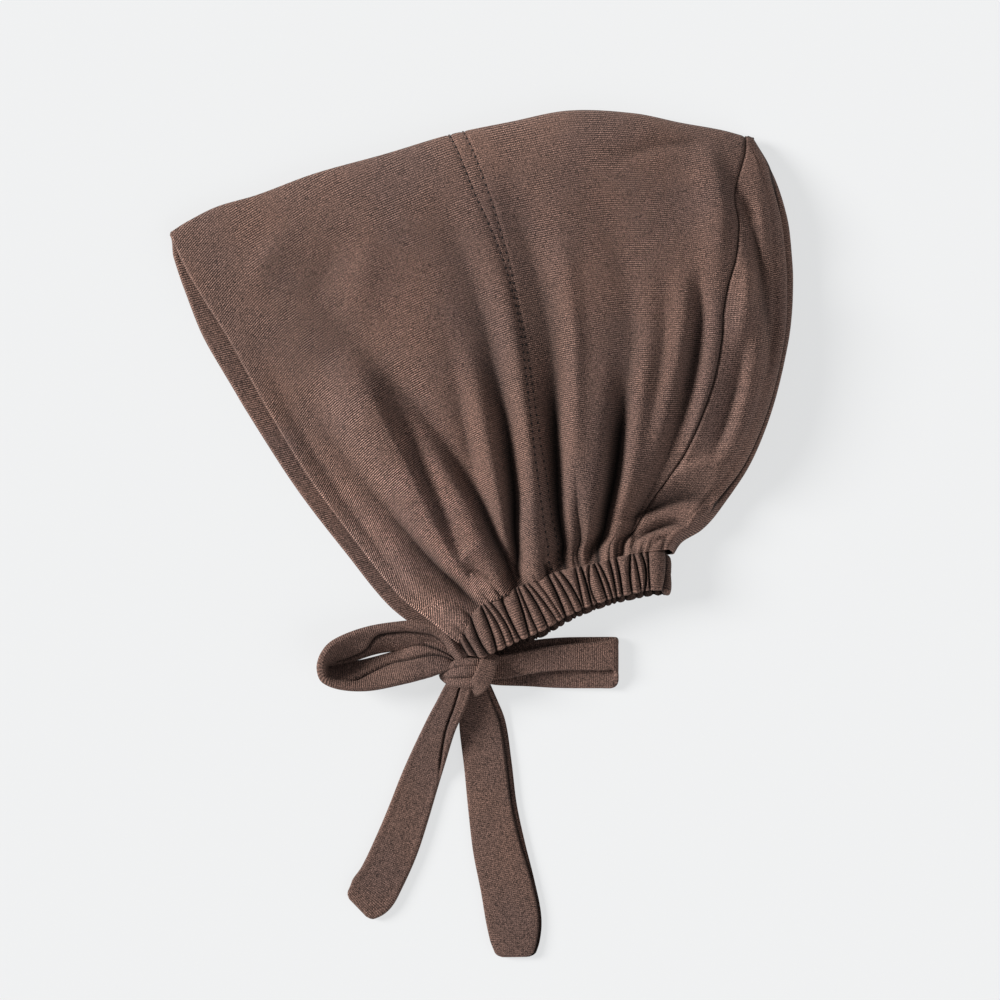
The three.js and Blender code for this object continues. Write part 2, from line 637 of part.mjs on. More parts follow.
// Gathered casing: along the upper side, round the back and along the lower side
const CASING_MIDDLE = NAPE_LOFT - CLOTH_WALL / 2;
const CASING_TURN = (CASING_MIDDLE - CASING_MIDDLE_UNDER) / 2;
const CASING_SLANT = { front: 0.05, back: -0.035 };
const CASING_END = 0.125;
const UNDER_STATIONS = 0.5;
function casingLine(s, lower) {
  const way = NAPE_BACK.clone().sub(NAPE_FRONT);
  const down = NAPE_OUT.clone().multiplyScalar(NAPE_LINE);
  const ends = smooth(s / CASING_END) * smooth((1 - s) / CASING_END);
  const along = clamp(s + mix(CASING_SLANT.front, CASING_SLANT.back, s) * ends);
  if (!lower) return napePoint(s).addScaledVector(NAPE_OUT, CASING_GAP);
  const edge = NAPE_FRONT.clone().addScaledVector(way, along);
  return edge.addScaledVector(down, follow(CASING_EDGE, along, 'along', 'drop'));
}
function casing(grow) {
  const turnAt = 1 - (CASING_TURN + CASING_THICKNESS / 2 + CASING_INSET) / NAPE_LINE;
  const sections = [];
  const near = CASING_RUFFLES * STATIONS_PER_RUFFLE;
  const far = Math.round(near * UNDER_STATIONS);
  const station = (s, middleHeight, thickness, drop, ruffle, tilt) => {
    const top = casingLine(s, false);
    const bottom = casingLine(s, true);
    const across = bottom.clone().sub(top);
    const width = across.length() - RUFFLE_DEPTH * (ruffle < 0 ? 1 : 0);
    const thick = thickness + RUFFLE_DEPTH * ruffle + 2 * grow;
    across.normalize();
    const middle = top.clone().addScaledVector(across, width / 2).addScaledVector(NAPE_OUT, drop);
    const ahead = new THREE.Vector3(-across.y, across.x, 0);
    middle.addScaledVector(ahead, Math.sin(tilt) * CASING_TURN);
    middle.setZ(middleHeight);
    const up = UP.clone().multiplyScalar(Math.cos(tilt)).addScaledVector(ahead, Math.sin(tilt));
    sections.push(strapSection(middle, across, up, width + 2 * grow, thick));
  };
  for (let i = 0; i <= near; i += 1) {
    const s = (turnAt * i) / near;
    const ruffle = i % STATIONS_PER_RUFFLE === 0 ? -1 : 0.5;
    station(s, CASING_MIDDLE, CASING_THICKNESS, 0, ruffle, 0);
  }
  for (let i = 1; i < TURN_STATIONS; i += 1) {
    const turn = (Math.PI * i) / TURN_STATIONS;
    const share = (1 + Math.cos(turn)) / 2;
    const height = mix(CASING_MIDDLE_UNDER, CASING_MIDDLE, share);
    const thickness = mix(CASING_THICKNESS, CASING_UNDER_THICKNESS, i / TURN_STATIONS);
    station(turnAt, height, thickness, CASING_DROP * underShare(share), i % 2 ? 0.2 : -0.4, turn);
  }
  for (let i = far; i >= 0; i -= 1) {
    const s = (turnAt * i) / far;
    const ruffle = i % 2 ? 0 : -1;
    station(s, CASING_MIDDLE_UNDER, CASING_UNDER_THICKNESS, CASING_DROP, ruffle, Math.PI);
  }
  return loftThrough(sections);
}

// Middle of the knot, and a strap through stations given as points with width and lean. The width lies
// square to the way, or along a given direction
const KNOT = new THREE.Vector3(KNOT_ASIDE, -KNOT_DROP, KNOT_HEIGHT / 2 + CLEARANCE);
function knotPlace({ out, side }) {
  return new THREE.Vector3(KNOT.x + out * KNOT_LENGTH, KNOT.y + side * KNOT_BREADTH, 0);
}
function strap(stations, grow, along) {
  const sections = stations.map((station, i) => {
    const before = stations[Math.max(0, i - 1)].point;
    const after = stations[Math.min(stations.length - 1, i + 1)].point;
    const way = after.clone().sub(before).normalize();
    const reach = i === 0 ? -grow : grow;
    const end = i === 0 || i === stations.length - 1 ? reach : 0;
    const middle = station.point.clone().addScaledVector(way, end);
    const flat = along ? along.clone() : UP.clone().cross(way).normalize();
    const lean = station.lean * DEGREE;
    const across = flat.multiplyScalar(Math.cos(lean)).addScaledVector(UP, Math.sin(lean));
    across.addScaledVector(way, -across.dot(way)).normalize();
    const up = way.clone().cross(across);
    const width = station.width + 2 * grow;
    return strapSection(middle, across, up, width, TIE_THICKNESS + 2 * grow);
  });
  return loftThrough(sections);
}
function loopStations(rows, reach, spread, way) {
  return rows.map(({ out, side, height, width, lean }) => ({
    point: new THREE.Vector3(KNOT.x + way * out * reach, KNOT.y + side * spread, height * TIE_WIDTH),
    width: width * TIE_WIDTH,
    lean,
  }));
}
function tailStations(rows, length, tilt, start) {
  const way = heading(tilt);
  const aside = heading(tilt + 90);
  return rows.map((row) => {
    const point = start.clone().addScaledVector(way, row.along * length);
    point.addScaledVector(aside, row.aside * length);
    point.setZ(Math.max(row.height * TIE_WIDTH, TIE_THICKNESS / 2));
    return { point, width: row.width * TIE_WIDTH, lean: 0 };
  });
}

// Knot: an egg-shaped lump with two wraps round it
const KNOT_RINGS = 9;
const KNOT_FACETS = 14;
const KNOT_WRAPS = 2;
const KNOT_END_TURN = 0.07;
const KNOT_SIDE_SHARE = 0.4;
function knot(grow) {
  const sections = [];
  for (let i = 0; i <= KNOT_RINGS; i += 1) {
    const turn = Math.PI * mix(KNOT_END_TURN, 1 - KNOT_END_TURN, i / KNOT_RINGS);
    const wrap = KNOT_WRAP_DEPTH * Math.cos((i / KNOT_RINGS) * 2 * Math.PI * KNOT_WRAPS);
    const reach = KNOT_BREADTH / 2 + grow;
    const section = [];
    for (let j = 0; j < KNOT_FACETS; j += 1) {
      const round = (2 * Math.PI * j) / KNOT_FACETS;
      const wide = (KNOT_LENGTH / 2 + grow + wrap * KNOT_SIDE_SHARE) * Math.sin(turn);
      const tall = (KNOT_HEIGHT / 2 + grow + Math.min(0, wrap)) * Math.sin(turn);
      section.push(new THREE.Vector3(
        KNOT.x + wide * Math.cos(round),
        KNOT.y + reach * Math.cos(turn),
        KNOT.z + tall * Math.sin(round),
      ));
    }
    sections.push(section);
  }
  return loftThrough(sections);
}

// Cuts that keep the pieces of the bow clear of each other
const CUT_TOLERANCE = 0.02;
const wasm = await Module();
wasm.setup();
function solid(geometry) {
  const merged = mergeVertices(geometry, 1e-5);
  const mesh = new wasm.Mesh({
    numProp: 3,
    vertProperties: new Float32Array(merged.attributes.position.array),
    triVerts: new Uint32Array(merged.index.array),
  });
  return new wasm.Manifold(mesh);
}
function cutClear(geometry, others) {
  let body = solid(geometry);
  for (const other of others) {
    body = body.subtract(solid(other));
  }
  const parts = body.decompose().sort((a, b) => b.volume() - a.volume());
  const mesh = parts[0].setTolerance(CUT_TOLERANCE).simplify(CUT_TOLERANCE).getMesh();
  const kept = new THREE.BufferGeometry();
  kept.setAttribute('position', new THREE.Float32BufferAttribute(mesh.vertProperties, 3));
  kept.setIndex(Array.from(mesh.triVerts));
  return kept;
}

const leftLoop = (grow) => strap(loopStations(LEFT_LOOP, LEFT_LOOP_REACH, LEFT_LOOP_SPREAD, -1), grow);
const rightLoop = (grow) => {
  const stations = loopStations(RIGHT_LOOP, RIGHT_LOOP_REACH, TIE_WIDTH, 1);
  return strap(stations, grow, heading(90));
};
const knotBand = (grow) => strap(loopStations(KNOT_BAND, KNOT_DROP, KNOT_DROP, 1), grow);
function leftTail(grow) {
  const start = knotPlace(LEFT_TAIL_START);
  return strap(tailStations(LEFT_TAIL, LEFT_TAIL_LENGTH, LEFT_TAIL_TILT, start), grow);
}
function rightTail(grow) {
  const start = knotPlace(RIGHT_TAIL_START);
  return strap(tailStations(RIGHT_TAIL, RIGHT_TAIL_LENGTH, RIGHT_TAIL_TILT, start), grow);
}

// Pieces, each with its colour and roughness
const cap = new THREE.Group();
function add(name, geometry, color) {
  const mesh = new THREE.Mesh(
    geometry,
    new THREE.MeshStandardMaterial({ color, roughness: 0.9, metalness: 0 }),
  );
  geometry.computeVertexNormals();
  mesh.name = name;
  cap.add(mesh);
}
add('front_band', frontBand(), JERSEY);
add('crown_panel', crownPanel(), JERSEY);
add('back_panel', backPanel(), JERSEY);
add('nape_casing', casing(0), JERSEY);
add('tie_knot', knot(0), JERSEY);
const tied = [knot(KNOT_GAP), casing(CLEARANCE)];
const crossed = [...tied, knotBand(CLEARANCE)];
add('knot_band', cutClear(knotBand(0), tied), JERSEY);
add('bow_loop_left', cutClear(leftLoop(0), crossed), JERSEY_UNDER);
add('bow_loop_right', cutClear(rightLoop(0), crossed), JERSEY);
add('tie_tail_left', cutClear(leftTail(0), crossed), JERSEY);
const besideTail = [...crossed, leftTail(CLEARANCE), rightLoop(CLEARANCE)];
add('tie_tail_right', cutClear(rightTail(0), besideTail), JERSEY);

// Origin at the middle of the base
const box = new THREE.Box3().setFromObject(cap);
const centre = box.getCenter(new THREE.Vector3());
cap.position.set(-centre.x, -centre.y, -box.min.z);
cap.updateMatrixWorld(true);

export default cap;
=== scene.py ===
import math

import bpy
import numpy as np
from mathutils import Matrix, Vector


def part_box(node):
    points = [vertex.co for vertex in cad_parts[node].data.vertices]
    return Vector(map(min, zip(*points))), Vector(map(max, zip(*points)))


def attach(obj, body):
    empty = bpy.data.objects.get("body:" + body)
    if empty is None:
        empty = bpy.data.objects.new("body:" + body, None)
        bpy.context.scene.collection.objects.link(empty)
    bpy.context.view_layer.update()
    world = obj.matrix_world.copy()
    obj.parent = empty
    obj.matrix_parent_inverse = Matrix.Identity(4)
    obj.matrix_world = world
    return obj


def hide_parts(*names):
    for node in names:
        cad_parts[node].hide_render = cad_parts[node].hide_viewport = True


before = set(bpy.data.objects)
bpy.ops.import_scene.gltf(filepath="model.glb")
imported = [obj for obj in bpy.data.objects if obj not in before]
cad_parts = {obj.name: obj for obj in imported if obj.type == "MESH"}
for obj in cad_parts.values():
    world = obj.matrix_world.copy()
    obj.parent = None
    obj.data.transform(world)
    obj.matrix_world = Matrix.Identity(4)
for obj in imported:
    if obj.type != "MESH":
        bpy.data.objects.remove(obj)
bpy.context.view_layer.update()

# Underscarf cap of brown jersey, folded at the crown and lying flat. Lengths in this script are millimetres,
# measured from the nape's front corner, and become metres in the frame when a mesh is made.
MM = 0.001

# Side of the cap seen from above
FACE_EDGE = 224.7
FACE_TILT = 125.2
CROWN_LINE = 264.3
CROWN_TILT = 9.1
NAPE_LINE = 103.4
NAPE_TILT = 23.3

# Heights over the surface
LOFT = 30.0
NAPE_LOFT = 15.6
CROWN_TURN = 5.0

# Cloth
BAND_WALL = 1.9
CLOTH_WALL = 1.0
BREADTH_OF_CUT = 262.0
LENGTH_OF_CUT = 215.0

# Stand-out of the lower side
FACE_PEEK = 9.7
BACK_PEEK = 6.0
CROWN_PEEK = 2.0

# Back gusset
GUSSET_DEPTH = 14.0
CREASE_ROUND = 4.0

# Casing
CASING_THICKNESS = 6.3
CASING_UNDER_THICKNESS = 4.6
CASING_DROP = 3.0
CASING_INSET = -1.2

# Tie
TIE_WIDTH = 22.0
TIE_THICKNESS = 2.8
KNOT_LENGTH = 17.5
KNOT_BREADTH = 15.0
KNOT_HEIGHT = 13.0
KNOT_DROP = 14.8
KNOT_ASIDE = 1.4
RIGHT_LOOP_REACH = 68.9
LEFT_TAIL_LENGTH = 107.0
LEFT_TAIL_TILT = 247.8
RIGHT_TAIL_LENGTH = 124.0
RIGHT_TAIL_TILT = 278.5

# Topstitching
STITCH_PITCH = 3.5
STITCH_THICKNESS = 0.5
STITCH_HALF_LENGTH = 0.92
HOLE_HALF_LENGTH = 0.62
HOLE_HALF_BREADTH = 0.6
STITCH_HALF_HEIGHT = 0.2
STITCH_LIFT = 0.12

# Edges of the upper side: place along the straight line, and bulge outward, both as shares of it
FACE_BULGE = (
    (0, 0), (0.06, 0.018), (0.145, 0.042), (0.27, 0.05), (0.44, 0.053), (0.62, 0.04), (0.75, 0.025),
    (0.9, 0.016), (1, 0),
)
CROWN_BULGE = (
    (0, 0), (0.03, 0.013), (0.084, 0.03), (0.155, 0.039), (0.256, 0.059), (0.381, 0.073), (0.495, 0.088),
    (0.6, 0.093), (0.7, 0.096), (0.808, 0.074), (0.883, 0.046), (0.952, 0.022), (1, 0),
)
NAPE_BULGE = (
    (0, 0), (0.114, -0.088), (0.236, -0.107), (0.491, -0.106), (0.658, -0.076), (0.796, -0.055),
    (0.917, -0.026), (1, 0),
)
BACK_BULGE = (
    (0, 0), (0.036, 0.01), (0.068, 0.038), (0.129, 0.074), (0.216, 0.118), (0.296, 0.141), (0.394, 0.156),
    (0.498, 0.16), (0.574, 0.155), (0.687, 0.133), (0.752, 0.115), (0.835, 0.091), (0.943, 0.043), (1, 0),
)
CASING_EDGE = (
    (0, 0.065), (0.034, 0.086), (0.063, 0.106), (0.109, 0.109), (0.22, 0.105), (0.349, 0.103),
    (0.498, 0.087), (0.652, 0.092), (0.82, 0.121), (0.911, 0.146), (0.96, 0.14), (1, 0.112),
)

# Stand-out of the lower side along the face edge, the back and the crown, as shares of the peeks
FACE_PEEKS = (
    (0, 0.1), (0.05, 0.3), (0.1, 0.62), (0.27, 0.7), (0.5, 0.82), (0.65, 0.93), (0.78, 1), (0.89, 0.55),
    (1, 0.15),
)
BACK_PEEKS = (
    (0, 0), (0.03, 0.25), (0.08, 0.85), (0.14, 0.95), (0.25, 0.7), (0.5, 0.62), (0.66, 0.9), (0.78, 1),
    (0.9, 0.8), (1, 0.1),
)
CROWN_PEEKS = ((0, 0.2), (0.7, 0.05), (0.82, 0.8), (0.92, 1), (1, 0.1))

# Height of the upper side: place across, then shares of NAPE_LOFT at the nape and of LOFT above it
LOFT_LEVELS = (0, 0.2, 0.5, 0.8)
LOFT_SHARES = (
    (0, 1, 0.39, 0.36, 0.36),
    (0.12, 1, 0.5, 0.5, 0.48),
    (0.3, 1, 0.62, 0.68, 0.62),
    (0.5, 1, 0.72, 0.86, 0.74),
    (0.7, 1, 0.76, 0.97, 0.8),
    (0.85, 1, 0.68, 0.86, 0.72),
    (1, 1, 0.5, 0.52, 0.5),
)
DOME_START = 0.78
DOME_POWER = 2.2
UNDER_TURN = 0.955
UNDER_LIFT_LEVEL = 0.09

# Seams: level above the nape, and share across
FRONT_SEAM = (
    (0, 0.488), (0.05, 0.486), (0.145, 0.482), (0.226, 0.477), (0.29, 0.478), (0.37, 0.484), (0.45, 0.491),
    (0.53, 0.498), (0.63, 0.505), (0.726, 0.504), (0.79, 0.5), (0.87, 0.494), (1, 0.493),
)
SECOND_ROW = (
    (0, 0.53), (0.05, 0.526), (0.113, 0.514), (0.19, 0.503), (0.29, 0.497), (0.355, 0.4975), (0.47, 0.503),
    (0.58, 0.508), (0.68, 0.512), (0.79, 0.515), (0.87, 0.517), (1, 0.517),
)
BACK_SEAM = (
    (0, 0.795), (0.06, 0.8), (0.13, 0.81), (0.185, 0.827), (0.258, 0.85), (0.355, 0.868), (0.435, 0.88),
    (0.524, 0.886), (0.58, 0.888), (0.645, 0.9), (0.71, 0.918), (0.78, 0.929), (0.847, 0.93), (0.927, 0.958),
    (1, 0.99),
)

# Folds of the upper side. Each fold is a line of places: share across, level above the nape, rise that
# FOLD_DEPTH multiplies, and its half widths on the left and on the right of the line, in millimetres
FOLDS = (
    # soft roll behind the face edge
    ((0.024, 0.02, 0, 4, 4), (0.028, 0.2, -1.2, 4, 4), (0.03, 0.5, -1.5, 5, 5), (0.034, 0.75, 0, 6, 6)),
    ((0.06, 0.02, 1.4, 4, 5), (0.05, 0.14, 1.6, 4, 6), (0.06, 0.3, 0.6, 6, 8), (0.065, 0.4, 0, 6, 8)),
    # front valley
    (
        (0.142, 0, -5, 5, 2.4), (0.137, 0.07, -5.4, 6, 2.8), (0.126, 0.15, -4.8, 7, 3.4),
        (0.11, 0.23, -3.4, 8, 4), (0.094, 0.33, -2.6, 9, 5), (0.076, 0.46, -1.6, 9, 7),
        (0.066, 0.6, 0, 9, 9),
    ),
    ((0.12, 0.3, 0, 6, 8), (0.12, 0.42, 1.2, 7, 11), (0.125, 0.52, 1.2, 8, 12), (0.14, 0.62, 0, 8, 10)),
    # shallow pair in the middle of the front
    (
        (0.205, 0.12, 0, 5, 4), (0.21, 0.2, -2, 6, 5), (0.219, 0.36, -2.4, 6, 6), (0.228, 0.47, -1.4, 7, 7),
        (0.235, 0.58, 0, 8, 7),
    ),
    (
        (0.168, 0.02, 0, 6, 3), (0.178, 0.12, 2.4, 10, 4), (0.184, 0.25, 3.8, 14, 5),
        (0.188, 0.38, 4, 15, 5.6), (0.182, 0.5, 4, 16, 7), (0.165, 0.64, 0, 14, 10),
    ),
    (
        (0.27, 0, 1.6, 8, 3), (0.296, 0.1, 2.6, 11, 3.4), (0.286, 0.2, 2.6, 11, 4), (0.265, 0.3, 2.2, 10, 5),
        (0.244, 0.42, 1.2, 7, 6), (0.23, 0.52, 0, 6, 6),
    ),
    ((0.175, 0.04, 0, 2, 2), (0.2, 0.085, -1.3, 3, 2), (0.235, 0.07, -1.5, 3, 2), (0.262, 0.03, 0, 2, 2)),
    ((0.2, 0.11, 0, 2, 2), (0.24, 0.135, 0.9, 2, 3), (0.29, 0.13, 0.8, 2, 3), (0.31, 0.1, 0, 2, 2)),
    # slanting valley from the middle of the nape up to the left
    (
        (0.33, 0, -4.6, 4, 2.2), (0.331, 0.1, -5, 5, 2.6), (0.322, 0.2, -4.6, 6, 3.6),
        (0.308, 0.3, -3.6, 8, 5), (0.285, 0.4, -2.7, 10, 6), (0.252, 0.5, -2.1, 10, 7),
        (0.215, 0.6, -1.6, 11, 8), (0.18, 0.7, -0.8, 12, 10), (0.155, 0.8, 0, 12, 12),
    ),
    (
        (0.322, 0.26, 0, 4, 4), (0.332, 0.34, -2.4, 5, 4), (0.345, 0.43, -2.2, 7, 5),
        (0.358, 0.54, -1.2, 9, 7), (0.366, 0.68, 0, 10, 9),
    ),
    (
        (0.346, 0.04, 0.6, 2, 3), (0.362, 0.12, 2.4, 4, 3), (0.372, 0.24, 3, 5, 4), (0.382, 0.36, 2.6, 7, 5),
        (0.392, 0.48, 1.6, 8, 6), (0.398, 0.6, 0, 8, 8),
    ),
    # deep valley in front of the front seam
    (
        (0.34, 0, -1, 3, 2), (0.362, 0.05, -5, 5, 2.6), (0.382, 0.1, -6.4, 5, 3), (0.406, 0.2, -6.8, 6, 3.6),
        (0.42, 0.3, -6, 7, 4.4), (0.432, 0.4, -5, 8, 5), (0.436, 0.52, -4, 9, 6), (0.44, 0.65, -2.6, 11, 8),
        (0.436, 0.78, -1.4, 14, 10), (0.42, 0.9, 0, 14, 12),
    ),
    (
        (0.43, 0.02, 1, 6, 6), (0.452, 0.15, 2, 8, 6), (0.468, 0.3, 2.4, 9, 5), (0.476, 0.45, 2, 9, 5),
        (0.482, 0.6, 1.8, 9, 6), (0.478, 0.75, 1.2, 10, 8), (0.47, 0.87, 0, 10, 9),
    ),
    # deep valley behind the front seam
    (
        (0.546, 0, -5.6, 4, 2.2), (0.545, 0.05, -6.8, 5, 2.6), (0.537, 0.1, -7.6, 6, 3),
        (0.528, 0.2, -7.8, 6.6, 3.4), (0.531, 0.3, -7, 7.4, 4), (0.541, 0.39, -5.6, 8, 5),
        (0.55, 0.47, -4.4, 9, 7), (0.555, 0.56, -3.6, 10, 9), (0.557, 0.66, -2.8, 11, 10),
        (0.552, 0.78, -1.8, 12, 12), (0.545, 0.92, 0, 12, 12),
    ),
    (
        (0.565, 0.02, 1, 3, 5), (0.558, 0.18, 2.2, 4, 7), (0.566, 0.3, 2.2, 5, 6), (0.584, 0.43, 2.2, 7, 5),
        (0.598, 0.55, 2, 9, 5), (0.606, 0.68, 1.4, 10, 6), (0.612, 0.82, 0, 10, 8),
    ),
    (
        (0.607, 0, -4, 4, 1.8), (0.6, 0.08, -4, 5, 2.4), (0.586, 0.15, -2.6, 5, 3),
        (0.575, 0.22, -1.3, 5, 4), (0.568, 0.32, 0, 5, 4),
    ),
    (
        (0.622, 0.02, 0.6, 3, 3), (0.63, 0.1, 2.2, 6, 3.4), (0.636, 0.2, 2.8, 9, 3.4),
        (0.64, 0.3, 2.6, 10, 4), (0.648, 0.4, 1.4, 11, 6), (0.655, 0.5, 0, 11, 6),
    ),
    # widest valley, with a sharp upper end
    (
        (0.69, 0, -6, 4, 2.2), (0.684, 0.08, -8, 6, 3), (0.682, 0.2, -8, 7.4, 3.4),
        (0.684, 0.3, -6.6, 8, 4.4), (0.69, 0.37, -4.2, 9, 6), (0.7, 0.43, -2.8, 12, 6),
        (0.712, 0.52, -2.4, 15, 7), (0.712, 0.66, -1.6, 17, 12), (0.68, 0.82, -0.8, 18, 16),
        (0.66, 0.93, 0, 18, 16),
    ),
    (
        (0.705, 0.1, 1, 3, 5), (0.71, 0.28, 2.2, 4, 6), (0.728, 0.42, 2, 6, 6), (0.742, 0.55, 1.2, 8, 8),
        (0.75, 0.7, 0, 8, 10),
    ),
    (
        (0.74, 0.26, 0, 5, 5), (0.755, 0.36, -0.7, 6, 5), (0.77, 0.47, -1, 7, 5), (0.778, 0.58, -0.7, 8, 6),
        (0.784, 0.72, 0, 8, 8),
    ),
    (
        (0.765, 0.22, 0, 4, 4), (0.78, 0.32, 1.4, 5, 4), (0.8, 0.44, 2, 6, 4), (0.816, 0.56, 1.6, 6, 4),
        (0.826, 0.68, 0, 6, 4),
    ),
    # valley beside the back seam
    (
        (0.79, 0.03, -1, 4, 3), (0.785, 0.1, -3, 5, 3.4), (0.798, 0.2, -1.6, 5, 4), (0.814, 0.31, -2, 5, 4),
        (0.83, 0.42, -3, 5.4, 3.6), (0.84, 0.52, -2.8, 5, 3.4), (0.846, 0.6, -1.6, 5, 3.4),
        (0.848, 0.67, 0, 4, 4),
    ),
    (
        (0.85, 0.22, 0, 3, 3), (0.858, 0.34, 1, 4, 4), (0.868, 0.5, 1, 5, 4), (0.876, 0.64, 0.8, 6, 5),
        (0.9, 0.8, 2.2, 10, 5), (0.905, 0.9, 2.2, 10, 5), (0.9, 0.96, 0, 7, 5),
    ),
    # slots where the valleys end at the casing
    ((0.347, 0, -4, 1.6, 1.6), (0.352, 0.03, -4, 1.8, 1.6), (0.36, 0.06, 0, 1.8, 1.6)),
    ((0.468, 0, -3.4, 1.4, 1.4), (0.472, 0.02, -3, 1.6, 1.4), (0.476, 0.04, 0, 1.6, 1.4)),
    ((0.543, 0, -4, 1.6, 1.6), (0.545, 0.03, -4, 1.8, 1.6), (0.543, 0.07, 0, 1.8, 1.6)),
    ((0.656, 0, -4.6, 1.8, 1.8), (0.662, 0.04, -4.6, 2.4, 2), (0.674, 0.09, 0, 2.6, 2)),
    ((0.79, 0, -4, 1.6, 1.6), (0.79, 0.03, -4, 2, 1.6), (0.788, 0.07, 0, 2, 1.6)),
    # fullness beside the back crease
    (
        (0.9, 0.16, 0, 12, 8), (0.935, 0.28, 1.4, 14, 6), (0.95, 0.42, 2.2, 16, 5),
        (0.958, 0.58, 2.6, 18, 5), (0.962, 0.72, 2.6, 20, 5), (0.966, 0.84, 1.6, 18, 5),
        (0.97, 0.95, 0, 12, 5),
    ),
    # creases of the back gusset's upper side
    (
        (0.94, 0.85, 0, 3, 3), (0.955, 0.77, -2.6, 4, 4), (0.961, 0.69, -3.4, 5, 4),
        (0.967, 0.61, -2.8, 5, 4), (0.98, 0.53, -1.6, 4, 4), (0.99, 0.45, 0, 4, 3),
    ),
    (
        (0.918, 0.24, 0, 4, 4), (0.922, 0.32, -1.8, 4, 3), (0.926, 0.43, -1.8, 4, 3),
        (0.93, 0.5, -0.8, 4, 3), (0.935, 0.56, 0, 4, 3),
    ),
    ((0.915, 0.5, 0, 4, 3), (0.925, 0.57, 1.2, 5, 4), (0.935, 0.64, 1.2, 4, 3), (0.94, 0.72, 0, 3, 3)),
    ((0.955, 0.16, 0, 4, 5), (0.965, 0.28, 1.4, 5, 5), (0.97, 0.4, 0.8, 5, 5), (0.975, 0.48, 0, 5, 5)),
    # creases that run across behind the casing's end
    (
        (0.775, 0.105, -2, 5, 2), (0.82, 0.115, -4.4, 8, 2.6), (0.87, 0.13, -4.4, 11, 3),
        (0.93, 0.14, -3.6, 12, 4), (1, 0.13, -2, 10, 4),
    ),
    ((0.84, 0.205, 0.6, 2, 4), (0.88, 0.22, 1.4, 2.4, 6), (0.94, 0.225, 1, 3, 6), (0.97, 0.22, 0, 3, 5)),
    (
        (0.83, 0.02, -1, 2, 2), (0.865, 0.055, -3.4, 4, 2.2), (0.92, 0.07, -4, 5, 2.4),
        (0.965, 0.068, -2.6, 5, 2.4), (1, 0.06, 0, 4, 2),
    ),
    ((0.75, 0.03, 0, 2, 2), (0.785, 0.055, -1.6, 2.4, 2), (0.82, 0.045, -2, 2.4, 2), (0.835, 0.02, 0, 2, 2)),
    ((0.9, 0.01, 0, 2, 2), (0.935, 0.03, -1.8, 2.4, 1.6), (0.97, 0.028, -1.6, 2.4, 1.6), (1, 0.02, 0, 2, 2)),
    # dents under the crown fold
    ((0.72, 0.885, 0, 6, 3), (0.8, 0.92, -1.2, 7, 3), (0.87, 0.95, -1.4, 5, 3), (0.905, 0.965, 0, 4, 3)),
    ((0.925, 0.89, 0, 3, 3), (0.935, 0.86, -1, 3, 4), (0.947, 0.83, -1.8, 3, 4), (0.96, 0.79, 0, 3, 3)),
    ((0.07, 0.81, 0, 6, 6), (0.12, 0.86, 1, 6, 7), (0.2, 0.92, 0, 6, 7)),
    ((0.2, 0.66, 0, 7, 7), (0.25, 0.755, 1, 8, 8), (0.31, 0.84, 0, 8, 8)),
    ((0.15, 0.74, 0, 8, 8), (0.2, 0.8, -0.8, 8, 8), (0.3, 0.9, 0, 8, 8)),
)

# Section of the back gusset: inset in roundings, inset in gusset depths, share of height
GUSSET_SECTION = (
    (1, 0, 1), (0.32, 0, 0.93), (0, 0, 0.77), (0.3, 0, 0.6), (1, 0, 0.53), (0, 0.93, 0.47), (0, 1, 0.41),
    (0, 0.93, 0.36), (1, 0, 0.33), (0.25, 0, 0.27), (0, 0, 0.15), (0.25, 0, 0.035), (1, 0, 0),
)
# Depth of the gusset's fold: level above the nape, and share of GUSSET_DEPTH
GUSSET_DEPTHS = ((0, 0), (0.1, 0.35), (0.25, 1), (0.75, 1), (0.9, 0.45), (1, 0))

# Straps of the bow. Rows hold the way out and to the side from the knot's middle, the height over the
# surface, the width, and the lean in degrees. The left loop's lengths are millimetres. The right loop's way
# out is a share of its reach and the rest are shares of the tie's width. The knot band's way out and to
# the side are shares of KNOT_DROP, the rest of the tie's width
LEFT_LOOP = (
    (-1.5, 5, 8, 7, 115), (3.4, 10.6, 8.4, 8.5, 120), (7.4, 15.2, 8.2, 11, 128),
    (12.4, 17.6, 7.6, 13.5, 134), (19.5, 17.4, 7.2, 15.5, 140), (26.6, 16.9, 6.8, 15.5, 144),
    (40.8, 14.7, 6.6, 15.5, 143), (54.4, 9.7, 7.4, 17.5, 131), (59.9, 6, 8, 17.5, 114),
    (61.8, 3, 8.2, 17.5, 98), (59.7, 0, 8, 17.5, 112), (52.7, -1, 7.4, 17.5, 127), (41.4, -0.2, 7, 18, 137),
    (26.6, 3.4, 7.2, 18.5, 142), (18.9, 6.2, 7.6, 18.5, 155), (13.1, 6.6, 8, 16.5, 160),
    (7.7, 5.6, 8, 12, 158), (3.2, 3.6, 7.6, 8, 152), (-1, 1.4, 7, 7, 150),
)
RIGHT_LOOP = (
    (0.04, 0.06, 0.36, 0.4, 0), (0.18, 0.11, 0.34, 0.46, 0), (0.3, 0.16, 0.32, 0.5, 0),
    (0.46, 0.25, 0.29, 0.5, 0), (0.63, 0.32, 0.26, 0.52, 0), (0.8, 0.345, 0.24, 0.56, 0),
    (0.92, 0.36, 0.22, 0.6, 0), (0.985, 0.375, 0.2, 0.64, 0), (1, 0.27, 0.145, 0.92, 0),
    (0.985, 0.22, 0.09, 1.04, 0), (0.9, 0.215, 0.07, 1.05, 0), (0.63, 0.21, 0.07, 1.03, 0),
    (0.42, 0.19, 0.07, 0.92, 0), (0.24, 0.12, 0.075, 0.74, 0), (0.14, 0.06, 0.1, 0.54, 0),
    (0.04, 0, 0.16, 0.42, 0),
)
